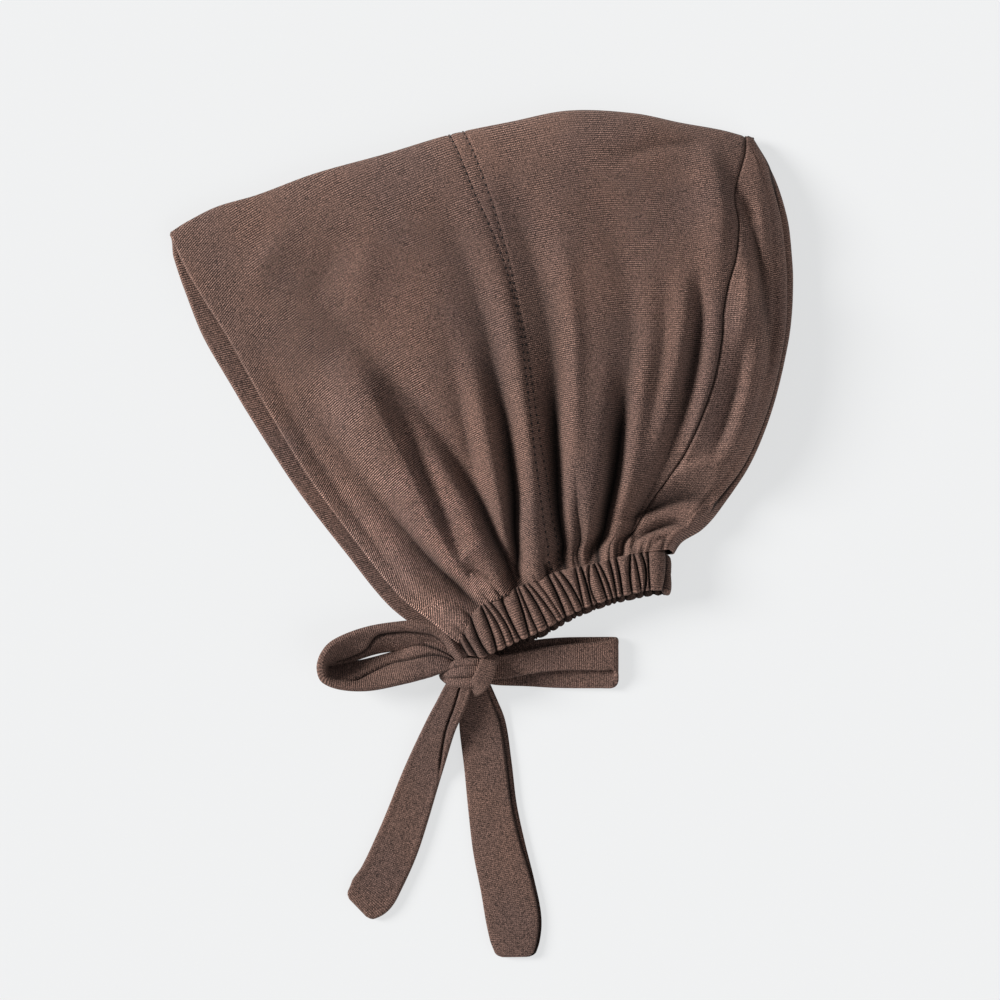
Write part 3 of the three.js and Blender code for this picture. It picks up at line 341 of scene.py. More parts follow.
KNOT_BAND = (
    (0.92, 0.6, 0.44, 0.34, 0), (0.8, 0.32, 0.6, 0.36, 0), (0.72, 0.08, 0.66, 0.38, -6),
    (0.58, -0.2, 0.62, 0.38, -12), (0.4, -0.42, 0.46, 0.34, -14), (0.22, -0.54, 0.26, 0.24, -10),
)
# Tails: way along and aside as shares of the tail's length, height and width as shares of the tie's width
LEFT_TAIL = (
    (-0.05, 0, 0.36, 0.46), (0, 0, 0.34, 0.56), (0.07, -0.002, 0.3, 0.6), (0.16, -0.008, 0.24, 0.63),
    (0.3, -0.006, 0.12, 0.73), (0.42, -0.002, 0.07, 0.8), (0.56, 0.006, 0.07, 0.86), (0.7, 0.01, 0.07, 0.92),
    (0.84, 0.004, 0.07, 0.94), (0.93, -0.012, 0.07, 0.97), (1, -0.042, 0.07, 0.72),
)
RIGHT_TAIL = (
    (-0.06, -0.01, 0.2, 0.5), (0, 0, 0.2, 0.62), (0.08, 0.004, 0.14, 0.82), (0.16, 0.008, 0.07, 0.96),
    (0.3, 0.006, 0.07, 0.98), (0.45, 0, 0.07, 1), (0.6, 0.002, 0.07, 1.08), (0.74, 0.012, 0.07, 1.12),
    (0.86, 0.016, 0.07, 1.14), (0.94, 0.01, 0.07, 1.02), (1, 0.002, 0.07, 0.78),
)
# Where the tails start, from the knot's middle, as shares of its length and breadth
LEFT_TAIL_START = (-0.13, -0.54)
RIGHT_TAIL_START = (0.31, -0.33)

# Photograph's frame: a pixel's size on the surface, and the pixel of the nape's front corner
PIXEL = 0.45
PICTURE = 1000
NAPE_FRONT_PIXEL = (459, 640)
CAMERA_HEIGHT = 1500.0


def ease(t, span, low, high, low_slope, high_slope):
    """Smooth way from low to high with a slope at each end."""
    start = (2 * t**3 - 3 * t**2 + 1) * low + (t**3 - 2 * t**2 + t) * span * low_slope
    end = (3 * t**2 - 2 * t**3) * high + (t**3 - t**2) * span * high_slope
    return start + end


def follow(rows, place):
    """Smooth curve through rows of (place, value)."""
    keys = np.array([row[0] for row in rows], float)
    values = np.array([row[1] for row in rows], float)
    place = np.clip(np.asarray(place, float), keys[0], keys[-1])
    slopes = np.empty_like(values)
    slopes[1:-1] = (values[2:] - values[:-2]) / (keys[2:] - keys[:-2])
    slopes[0] = (values[1] - values[0]) / (keys[1] - keys[0])
    slopes[-1] = (values[-1] - values[-2]) / (keys[-1] - keys[-2])
    i = np.clip(np.searchsorted(keys, place, side="right") - 1, 0, len(keys) - 2)
    span = keys[i + 1] - keys[i]
    return ease((place - keys[i]) / span, span, values[i], values[i + 1], slopes[i], slopes[i + 1])


def smooth(x):
    x = np.clip(x, 0, 1)
    return x * x * (3 - 2 * x)


def mix(a, b, share):
    return a + (b - a) * share


def heading(tilt):
    return np.array([math.cos(math.radians(tilt)), math.sin(math.radians(tilt))])


def unit(vectors):
    return vectors / np.maximum(np.linalg.norm(vectors, axis=-1, keepdims=True), 1e-9)


def way_along(points):
    """Length of the way from the first point to each of the points."""
    return np.concatenate([[0], np.cumsum(np.linalg.norm(np.diff(points, axis=0), axis=-1))])


def level_of(w):
    """Level above the nape of a place that goes up the upper side and down the lower one."""
    return np.where(w <= 1, w, 2 - w)


NAPE_FRONT = np.zeros(2)
NAPE_BACK = heading(NAPE_TILT) * NAPE_LINE
CROWN_FRONT = heading(FACE_TILT) * FACE_EDGE
CROWN_BACK = CROWN_FRONT + heading(CROWN_TILT) * CROWN_LINE
FACE_OUT = heading(FACE_TILT + 90)
CROWN_OUT = heading(CROWN_TILT + 90)
NAPE_OUT = heading(NAPE_TILT - 90)
BACK_OUT = unit(np.array([(CROWN_BACK - NAPE_BACK)[1], -(CROWN_BACK - NAPE_BACK)[0]]))


def edge_point(start, end, rows, along, side):
    """Point of a bulged edge, outward to the left of the way from start to end, or to the right for -1."""
    along = np.asarray(along, float)[..., None]
    way = end - start
    out = np.array([-way[1], way[0]]) * side
    return start + along * way + follow(rows, along) * out


def plan(u, v):
    """Place on the side seen from above: u from the face edge to the back, v from the nape to the crown."""
    u, v = np.broadcast_arrays(np.asarray(u, float), np.asarray(v, float))
    across = edge_point(NAPE_FRONT, NAPE_BACK, NAPE_BULGE, u, -1) * (1 - v)[..., None]
    across = across + edge_point(CROWN_FRONT, CROWN_BACK, CROWN_BULGE, u, 1) * v[..., None]
    along = edge_point(NAPE_FRONT, CROWN_FRONT, FACE_BULGE, v, 1) * (1 - u)[..., None]
    along = along + edge_point(NAPE_BACK, CROWN_BACK, BACK_BULGE, v, -1) * u[..., None]
    low = NAPE_FRONT * (1 - u)[..., None] + NAPE_BACK * u[..., None]
    high = CROWN_FRONT * (1 - u)[..., None] + CROWN_BACK * u[..., None]
    return across + along - low * (1 - v)[..., None] - high * v[..., None]


def breadth(v):
    face = edge_point(NAPE_FRONT, CROWN_FRONT, FACE_BULGE, v, 1)
    back = edge_point(NAPE_BACK, CROWN_BACK, BACK_BULGE, v, -1)
    return np.linalg.norm(back - face, axis=-1)


FACE_PEEK_REACH = 0.3
BACK_PEEK_REACH = 0.25
CROWN_PEEK_REACH = 0.12
NAPE_DROP_REACH = 0.2


def under_shift(u, v):
    """Shift of the lower side against the upper one, seen from above."""
    face = FACE_PEEK * follow(FACE_PEEKS, v) * smooth(1 - u / FACE_PEEK_REACH)
    back = BACK_PEEK * follow(BACK_PEEKS, v) * smooth(1 - (1 - u) / BACK_PEEK_REACH)
    crown = CROWN_PEEK * follow(CROWN_PEEKS, u) * smooth(1 - (1 - v) / CROWN_PEEK_REACH)
    nape = CASING_DROP * smooth(1 - v / NAPE_DROP_REACH)
    parts = ((face, FACE_OUT), (back, BACK_OUT), (crown, CROWN_OUT), (nape, NAPE_OUT))
    return sum(np.asarray(size)[..., None] * way for size, way in parts)


def loft_at(u, v):
    """Height of the upper side without its crown fold: smooth across, then smooth from nape to crown."""
    levels = []
    for i in range(len(LOFT_LEVELS)):
        rows = [(row[0], row[i + 1]) for row in LOFT_SHARES]
        levels.append((LOFT if i else NAPE_LOFT) * follow(rows, u))
    keys = np.array(LOFT_LEVELS, float)
    v = np.clip(v, keys[0], keys[-1])
    i = np.clip(np.searchsorted(keys, v, side="right") - 1, 0, len(keys) - 2)
    stack = np.stack(np.broadcast_arrays(*levels, v)[:-1])
    pick = lambda k: np.take_along_axis(stack, np.clip(k, 0, len(keys) - 1)[None], 0)[0]

    def slope(k):
        low = np.clip(k - 1, 0, len(keys) - 1)
        high = np.clip(k + 1, 0, len(keys) - 1)
        return (pick(high) - pick(low)) / (keys[high] - keys[low])

    i = np.broadcast_to(i, stack.shape[1:])
    span = keys[i + 1] - keys[i]
    return ease((v - keys[i]) / span, span, pick(i), pick(i + 1), slope(i), slope(i + 1))


def upper_height(u, v):
    near = np.clip((v - DOME_START) / (1 - DOME_START), 0, 1)
    dome = (1 - near**DOME_POWER) ** (1 / DOME_POWER)
    return mix(CROWN_TURN, loft_at(u, v), dome)


def under_height(v):
    turn = np.clip((v - UNDER_TURN) / (1 - UNDER_TURN), 0, 1)
    lift = (CASING_UNDER_THICKNESS / 2 - CLOTH_WALL / 2) * smooth(1 - v / UNDER_LIFT_LEVEL)
    return CROWN_TURN * (1 - np.sqrt(1 - turn**2)) + lift


# Creases of the casing's upper side: share along it at the top edge, at the middle and at the bottom edge,
# depth as a share of half the thickness, and the level that the crease reaches on the cap
CASING_CREASES = (
    (0.004, 0.006, 0.01, 0.5, 0.02), (0.032, 0.034, 0.038, 0.6, 0.03), (0.09, 0.071, 0.072, 0.75, 0.03),
    (0.15, 0.131, 0.101, 0.8, 0.05), (0.164, 0.17, 0.149, 0.55, 0.02), (0.19, 0.204, 0.192, 0.6, 0.03),
    (0.243, 0.231, 0.228, 0.8, 0.03), (0.315, 0.298, 0.275, 0.85, 0.06), (0.33, 0.324, 0.321, 0.6, 0.05),
    (0.355, 0.373, 0.376, 0.75, 0.05), (0.375, 0.407, 0.429, 0.55, 0.02), (0.41, 0.438, 0.459, 0.35, 0.02),
    (0.466, 0.475, 0.477, 0.9, 0.05), (0.492, 0.514, 0.527, 0.6, 0.02), (0.52, 0.553, 0.568, 0.75, 0.06),
    (0.588, 0.582, 0.578, 0.7, 0.04), (0.612, 0.617, 0.618, 0.85, 0.07), (0.65, 0.631, 0.645, 0.6, 0.02),
    (0.669, 0.685, 0.697, 0.8, 0.04), (0.687, 0.712, 0.725, 0.7, 0.05), (0.735, 0.743, 0.746, 0.75, 0.05),
    (0.766, 0.773, 0.775, 0.8, 0.06), (0.83, 0.819, 0.824, 0.8, 0.05), (0.843, 0.858, 0.868, 0.6, 0.03),
    (0.873, 0.893, 0.885, 0.8, 0.06), (0.902, 0.906, 0.911, 0.65, 0.04), (0.955, 0.953, 0.947, 0.75, 0.05),
    (0.963, 0.971, 0.983, 0.6, 0.03),
)
CREASE_HALF = 0.55
CREASE_ROUNDING = 2.3


def casing_creases():
    """Table of the creases, carried on at uneven steps round the end and along the lower side."""
    random = np.random.default_rng(11)
    rows = list(CASING_CREASES)
    place = rows[-1][0]
    while place < 2:
        place += random.uniform(0.02, 0.05)
        slant = random.uniform(-0.014, 0.014)
        rows.append((place - slant, place, place + slant, random.uniform(0.5, 0.9), 0.03))
    return np.array(rows)


def crease_distance(place, side, rows):
    """Distance in millimetres to the nearest crease, and that crease's number."""
    line = rows[:, 1] + (rows[:, 2] - rows[:, 0]) / 2 * side[..., None]
    line = line + ((rows[:, 0] + rows[:, 2]) / 2 - rows[:, 1]) * side[..., None] ** 2
    away = np.abs(place[..., None] - line) * NAPE_LINE
    nearest = away.argmin(-1)
    return np.take_along_axis(away, nearest[..., None], -1)[..., 0], nearest


GATHER_HEIGHT = 2.2
NAPE_LIFT = 1.6
NAPE_LIFT_LEVEL = 0.05
NAPE_DIP = 4.0
NAPE_DIP_GROWTH = 190
FOLD_DEPTH = 1.75
CREASE_POWER = 1.4
SHARP_POWER = 1.0
SHARP_LEVEL = 0.5
# Depth of a valley whose bottom gets the full painted shade
DEEPEST = 6.0
ROLL_POWER = 2.0
STEPS_A_ROW = 7

# How far a fold is felt in half widths, the painted shade at the bottom of a valley, the gathers, and the
# calm at the crown
FOLD_REACH = 3.2
BOTTOM_HALF = 0.55
BOTTOM_POWER = 1.5
GATHER_LEVEL = 0.25
GATHER_SPREAD = 6
CROWN_CALM = 0.1


def fold_line(fold):
    """Smooth line of a fold seen from above, with its rise and half widths along it."""
    keys = np.arange(len(fold))
    t = np.linspace(0, len(fold) - 1, STEPS_A_ROW * (len(fold) - 1) + 1)
    columns = [follow([(i, row[k]) for i, row in enumerate(fold)], t) for k in range(5)]
    return plan(columns[0], columns[1]), np.stack(columns[2:], axis=-1)


def fold_shape(u, v):
    """Height that folds and gathers add to the upper side, and the painted shade that each point gets in a
    crease.
    """
    u, v = np.broadcast_arrays(np.asarray(u, float), np.asarray(v, float))
    place = plan(u, v).reshape(-1, 2)
    total = np.zeros(len(place))
    crease_and_shade = np.zeros(len(place))
    sharp = mix(SHARP_POWER, CREASE_POWER, smooth(v.reshape(-1) / SHARP_LEVEL))
    for fold in FOLDS:
        line, sizes = fold_line(fold)
        reach = FOLD_REACH * sizes[:, 1:].max()
        near = ((place > line.min(0) - reach) & (place < line.max(0) + reach)).all(1)
        if not near.any():
            continue
        away = place[near][:, None] - line[None, :-1]
        step = np.diff(line, axis=0)
        along = np.clip((away * step).sum(-1) / (step**2).sum(-1), 0, 1)
        off = away - along[..., None] * step
        distance = np.linalg.norm(off, axis=-1)
        nearest = distance.argmin(1)
        row = np.arange(len(nearest))
        share = along[row, nearest][:, None]
        size = sizes[:-1][nearest] * (1 - share) + sizes[1:][nearest] * share
        left = step[nearest, 0] * off[row, nearest, 1] - step[nearest, 1] * off[row, nearest, 0] > 0
        half = np.where(left, size[:, 1], size[:, 2])
        power = np.where(size[:, 0] < 0, sharp[near], ROLL_POWER)
        distance = distance[row, nearest]
        total[near] += FOLD_DEPTH * size[:, 0] * np.exp(-((distance / half) ** power))
        # Painted shade at the bottom of each valley, darker for deeper valleys
        bottom = np.exp(-((distance / (BOTTOM_HALF * half)) ** BOTTOM_POWER))
        crease_and_shade[near] = np.maximum(crease_and_shade[near], np.clip(-size[:, 0] / DEEPEST, 0, 1) * bottom)
    total = total.reshape(u.shape)
    crease_and_shade = crease_and_shade.reshape(u.shape)
    rows = np.array(CASING_CREASES)
    near = v < GATHER_LEVEL
    away, number = crease_distance(u[near], -np.ones(u[near].shape), rows)
    fade = np.exp(-((v[near] / rows[number, 4]) ** 2))
    line = rows[number, 3] * np.exp(-away / (CREASE_HALF * (1 + GATHER_SPREAD * v[near]))) * fade
    total[near] -= GATHER_HEIGHT * line
    # Painted shade along the gathers by the casing
    crease_and_shade[near] = np.maximum(crease_and_shade[near], line)
    deepest = NAPE_DIP + NAPE_DIP_GROWTH * v
    total = np.where(total < 0, deepest * np.tanh(total / deepest), total)
    total += NAPE_LIFT * np.exp(-((v / NAPE_LIFT_LEVEL) ** 2))
    return total * smooth((1 - v) / CROWN_CALM), crease_and_shade


def side_grid(u, w):
    """Outer face of the cap's side, w from 0 to 1 above and from 1 to 2 below, with the fold heights of the
    upper side and the painted shade in its creases."""
    v = level_of(w)
    under = w > 1
    place = plan(u, v)
    shown = smooth((1 - v) / (1 - UNDER_TURN)) * under
    place = place + under_shift(u, v) * shown[..., None]
    height = np.where(under, under_height(v), upper_height(u, v))
    rise, crease_and_shade = (np.where(under, 0, value) for value in fold_shape(u, v))
    return np.concatenate([place, height[..., None]], axis=-1), rise, crease_and_shade


def grid_normals(grid):
    return unit(np.cross(np.gradient(grid, axis=1), np.gradient(grid, axis=0)))


# Where the nape's front corner is in the frame, from the knot's place beside it
knot_low, knot_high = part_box("tie_knot")
origin = np.array([
    (knot_low[0] + knot_high[0]) / 2 / MM - KNOT_ASIDE,
    (knot_low[1] + knot_high[1]) / 2 / MM + KNOT_DROP,
    0.0,
])


def outward(points, faces):
    """Faces turned so that they point out of the closed body."""
    fan = [(face[0], face[k], face[k + 1]) for face in faces for k in range(1, len(face) - 1)]
    a, b, c = points[np.array(fan)].transpose(1, 0, 2)
    inside_out = (a * np.cross(b, c)).sum() < 0
    return [face[::-1] for face in faces] if inside_out else faces


def in_scene(name, data):
    made = bpy.data.objects.new(name, data)
    bpy.context.scene.collection.objects.link(made)
    return made


def make_piece(name, *bodies):
    """Object of one or more closed bodies, in the frame and in metres, shaded smooth. A body is its points,
    its faces, and for each point its place on the cloth and how much painted shade its crease gives it, from
    0 to 1."""
    points = np.zeros((0, 3))
    uv = np.zeros((0, 3))
    faces = []
    for body_points, body_faces, body_uv in bodies:
        start = len(points)
        faces.extend(tuple(start + k for k in face) for face in outward(body_points, body_faces))
        points = np.concatenate([points, body_points])
        uv = np.concatenate([uv, body_uv])
    mesh = bpy.data.meshes.new(name)
    mesh.from_pydata(((points + origin) * MM).tolist(), [], faces)
    layer = mesh.uv_layers.new(name="cloth")
    corners = np.empty(len(mesh.loops), int)
    mesh.loops.foreach_get("vertex_index", corners)
    layer.data.foreach_set("uv", (uv[corners, :2] * MM).ravel())
    # Painted shade: each point's crease mask is kept as an attribute that darkens the colour
    crease_and_shade = mesh.attributes.new("crease_and_shade", "FLOAT", "POINT")
    crease_and_shade.data.foreach_set("value", np.clip(uv[:, 2], 0, 1))
    mesh.polygons.foreach_set("use_smooth", np.ones(len(mesh.polygons), bool))
    mesh.update()
    return in_scene(name, mesh)


def ring_faces(rings, around):
    """Faces between each closed ring of points and the next one."""
    faces = []
    for i in range(rings - 1):
        for j in range(around):
            a = i * around + j
            b = i * around + (j + 1) % around
            faces.append((a, b, b + around, a + around))
    return faces


def cloth_wall(outer, inner, uv):
    """Closed wall between two grids of points, with rounded rims all round."""
    rows, columns = outer.shape[:2]
    wall = np.linalg.norm(outer - inner, axis=-1).mean()
    middle = (outer + inner) / 2
    left = middle[:, 0] + unit(middle[:, 0] - middle[:, 1]) * wall / 2
    right = middle[:, -1] + unit(middle[:, -1] - middle[:, -2]) * wall / 2
    loops = np.concatenate([outer, right[:, None], inner[:, ::-1], left[:, None]], axis=1)
    loop_uv = np.concatenate([uv, uv[:, -1:], uv[:, ::-1], uv[:, :1]], axis=1)
    around = loops.shape[1]
    first = middle[0] + unit(middle[0] - middle[1]) * wall / 2
    last = middle[-1] + unit(middle[-1] - middle[-2]) * wall / 2
    points = np.concatenate([loops.reshape(-1, 3), first, last])
    uvs = np.concatenate([loop_uv.reshape(-1, 3), uv[0], uv[-1]])
    faces = ring_faces(rows, around)
    mirror = lambda j: 2 * columns - j
    for base, cap, turned in ((0, rows * around, 1), ((rows - 1) * around, rows * around + columns, -1)):
        for j in range(columns - 1):
            upper = (base + j + 1, base + j, cap + j, cap + j + 1)
            lower = (cap + j + 1, cap + j, base + mirror(j), base + mirror(j + 1))
            faces.extend(face[::turned] for face in (upper, lower))
        ends = (
            (base, base + around - 1, cap),
            (cap, base + around - 1, base + mirror(0)),
            (base + columns, base + columns - 1, cap + columns - 1),
            (base + columns, cap + columns - 1, base + mirror(columns - 1)),
        )
        faces.extend(face[::turned] for face in ends)
    return points, faces, uvs


def levels(count, low, high, bunch):
    """Levels from low to high, closer together at the low end where bunch is over 1."""
    return low + (high - low) * np.linspace(0, 1, count) ** bunch


# Rows of a side panel: up the upper side, round the crown fold and down the lower side
NEAR_ROWS = 190
NEAR_BUNCH = 1.25
TURN_ROWS = 26
TURN_START = 0.93
TURN_END = 1.05
UNDER_ROWS = 60
UNDER_TOP = 0.95
side_levels = np.concatenate([
    levels(NEAR_ROWS, 0, TURN_START, NEAR_BUNCH)[:-1],
    np.linspace(TURN_START, TURN_END, TURN_ROWS)[:-1],
    2 - levels(UNDER_ROWS, 0, UNDER_TOP, 1)[::-1],
])

KNIT_SLANT = 0.36
KNIT_SLANT_END = 0.6


def cloth_place(u, w, crease_and_shade):
    """Place on the cut cloth, whose knit slants at the face edge, with the share of painted crease shade."""
    slant = np.minimum(u, KNIT_SLANT_END)
    slant = KNIT_SLANT * BREADTH_OF_CUT * (slant - slant**2 / (2 * KNIT_SLANT_END))
    return np.stack(np.broadcast_arrays(u * BREADTH_OF_CUT, w * LENGTH_OF_CUT - slant, crease_and_shade), axis=-1)


def side_panel(from_share, to_share, columns, wall, sink):
    """Panel of the cap between two shares across, round over the crown."""
    w = side_levels[:, None]
    v = level_of(w)
    u = mix(from_share(v), to_share(v), np.linspace(0, 1, columns)[None])
    w = np.broadcast_to(w, u.shape)
    base, rise, crease_and_shade = side_grid(u, w)
    normals = grid_normals(base)
    lift = np.zeros(base.shape)
    lift[..., 2] = rise
    outer = base + lift - normals * sink(u, v)[..., None]
    inner = outer - normals * wall
    # Painted shade in the back seam's groove
    crease_and_shade = np.maximum(crease_and_shade, BACK_GROOVE_SHADE * back_groove(u, v))
    return cloth_wall(outer, inner, cloth_place(u, w, crease_and_shade))


def back_seam(v):
    return follow(BACK_SEAM, v)


SEAM_GROOVE = 0.5
SEAM_GROOVE_WIDTH = 0.9
# Painted shadow on the lower layer where the gusset's upper side overhangs it: its darkness and reach
GUSSET_SHADE = 0.95
GUSSET_SHADE_REACH = 3.0
BACK_GROOVE = 1.1
BACK_GROOVE_WIDTH = 0.7
BACK_GROOVE_SHADE = 0.36
UNDERLAP = 0.012
UNDERLAP_MARGIN = 0.003
BAND_OVERLAP = 0.001
TUCK = 1.1
PANEL_COLUMNS = 150


def front_seam(v):
    return follow(FRONT_SEAM, v)


def second_row(v):
    return follow(SECOND_ROW, v)


def stitch_grooves(u, v):
    """Depth that the two rows of stitches pull the cloth in."""
    away = [(u - row(v)) * breadth(v) / SEAM_GROOVE_WIDTH for row in (front_seam, second_row)]
    return sum(SEAM_GROOVE * np.exp(-(a**2)) for a in away)


def back_groove(u, v):
    return np.exp(-(((back_seam(v) - u) * breadth(v) / BACK_GROOVE_WIDTH) ** 2))


def crown_sink(u, v):
    tuck = TUCK * smooth((front_seam(v) + UNDERLAP_MARGIN - u) / UNDERLAP)
    return stitch_grooves(u, v) + tuck + BACK_GROOVE * back_groove(u, v)


# Rows of the gusset: up from its foot, then closer together in what is left up to the crown
GUSSET_ROWS = 170
GUSSET_FOOT = 0.004
GUSSET_HEAD = 0.95
GUSSET_REST = 0.05
GUSSET_HEAD_ROWS = 24

# Steps across the gusset, its wall and cloth, and where its folds and its painted shade fade
GUSSET_STRIP = 22
GUSSET_FOLD_STEPS = 73
GUSSET_WALL = 0.9
GUSSET_BREADTH_OF_CUT = 90
TIP_SHARE = 0.8
SHOWN_GROWTH = 1.4
FOLD_FADE = 0.7
SHADE_SOFTNESS = 1.2
SHADE_TOP = 0.62
SHADE_TOP_SOFTNESS = 0.1


def gusset_wall():
    """Back gusset: strips of both sides joined by a fold that goes in between them."""
    low_rows = levels(GUSSET_ROWS, GUSSET_FOOT, GUSSET_HEAD, 1.0)[:-1]
    high_rows = 1 - GUSSET_REST * np.linspace(1, 0, GUSSET_HEAD_ROWS) ** 2
    v = np.concatenate([low_rows, high_rows])[:, None]
    across = breadth(v)
    seam = back_seam(v)
    tip = np.minimum(CREASE_ROUND, (1 - seam) * across * TIP_SHARE)
    height = upper_height(np.ones(1), v)
    deep = GUSSET_DEPTH * follow(GUSSET_DEPTHS, v)
    folded_share = deep / GUSSET_DEPTH
    strip = np.linspace(0, 1, GUSSET_STRIP)[:-1]
    near_u = mix(seam, 1 - tip / across, strip[None])
    near, rise, near_crease_shade = side_grid(near_u, np.broadcast_to(v, near_u.shape))
    near[..., 2] += rise
    near[..., 2] -= BACK_GROOVE * back_groove(near_u, v)
    # Painted shade in the back seam's groove
    near_crease_shade = np.maximum(near_crease_shade, BACK_GROOVE_SHADE * back_groove(near_u, v))
    place = np.linspace(0, len(GUSSET_SECTION) - 1, GUSSET_FOLD_STEPS)
    column = lambda k: follow([(i, row[k]) for i, row in enumerate(GUSSET_SECTION)], place)[None]
    turn = math.pi * place[None] / (len(GUSSET_SECTION) - 1)
    folded = column(0) * tip + column(1) * np.maximum(deep, tip)
    plain = (1 - np.sin(turn)) * tip
    inset = mix(plain, folded, folded_share)
    share = mix((1 + np.cos(turn)) / 2, np.clip(column(2), 0, 1), folded_share)
    u = 1 - inset / across
    wide = np.broadcast_to(v, u.shape)
    shown = smooth((1 - share) * SHOWN_GROWTH)
    around = plan(u, wide) + under_shift(u, wide) * shown[..., None]
    section = np.concatenate([around, (height * share + under_height(v) * (1 - share))[..., None]], axis=-1)
    upper = smooth((share - FOLD_FADE) / 0.3)
    rise, crease_and_shade = fold_shape(u, wide)
    section[..., 2] += rise * upper
    far_u = near_u[:, ::-1]
    far, _, far_crease_shade = side_grid(far_u, 2 - np.broadcast_to(v, far_u.shape))
    outer = np.concatenate([near, section, far], axis=1)
    inner = outer - grid_normals(outer) * CLOTH_WALL * GUSSET_WALL
    steps = np.linspace(0, GUSSET_BREADTH_OF_CUT, outer.shape[1])[None]
    # Painted shadow on the band of the lower layer that shows beside the upper side's edge
    out = np.linalg.norm(under_shift(u, wide), axis=-1) * shown - inset
    tucked_shade = GUSSET_SHADE * smooth((GUSSET_SHADE_REACH - out) / SHADE_SOFTNESS)
    tucked_shade = tucked_shade * smooth((SHADE_TOP - share) / SHADE_TOP_SOFTNESS)
    crease_and_shade = np.concatenate([near_crease_shade, np.maximum(crease_and_shade * upper, tucked_shade), far_crease_shade], axis=1)
    uv = np.stack(np.broadcast_arrays(steps, v * LENGTH_OF_CUT, crease_and_shade), axis=-1)
    return cloth_wall(outer, inner, uv)


def closed_tube(sections, uv):
    """Closed body through closed sections of equal length, each end closed to its middle."""
    count, around = sections.shape[:2]
    points = np.concatenate([sections.reshape(-1, 3), sections[0].mean(0)[None], sections[-1].mean(0)[None]])
    uvs = np.concatenate([uv.reshape(-1, 3), uv[0].mean(0)[None], uv[-1].mean(0)[None]])
    faces = ring_faces(count, around)
    first = count * around
    last = first - around
    for j in range(around):
        following = (j + 1) % around
        faces.append((following, j, first))
        faces.append((last + j, last + following, first + 1))
    return points, faces, uvs


def section(facets, power):
    """Side and rise of a rounded flat section, each from -1 to 1."""
    angle = 2 * math.pi * np.arange(facets) / facets
    side = np.cos(angle)
    rise = np.sign(np.sin(angle)) * (1 - np.abs(side) ** power) ** (1 / power)
    return side[None], rise[None]


CASING_MIDDLE = NAPE_LOFT - 0.65
CASING_MIDDLE_UNDER = CASING_UNDER_THICKNESS / 2
CASING_TURN = (CASING_MIDDLE - CASING_MIDDLE_UNDER) / 2
CASING_GAP = -0.4
CASING_SLANT = (0.05, -0.08)
CASING_UNDER_SHADE = 0.6
CASING_FULLNESS = 0.6
CASING_INSIDE_CALM = 0.6
CASING_STEPS = (560, 60, 340)
CASING_SLANT_REACH = 0.125
CASING_FACETS = 56
CASING_ROUNDNESS = 3
CASING_TURN_SHARE = 0.1
CREASE_WIDENING = 1.7
CREASE_CUT = 0.9
CREASE_BED = 0.25
CREASE_NOTCH = 0.09
CASING_CLOTH_ALONG = 2.4
CASING_CLOTH_ACROSS = 10
CASING_CLOTH_RISE = 3


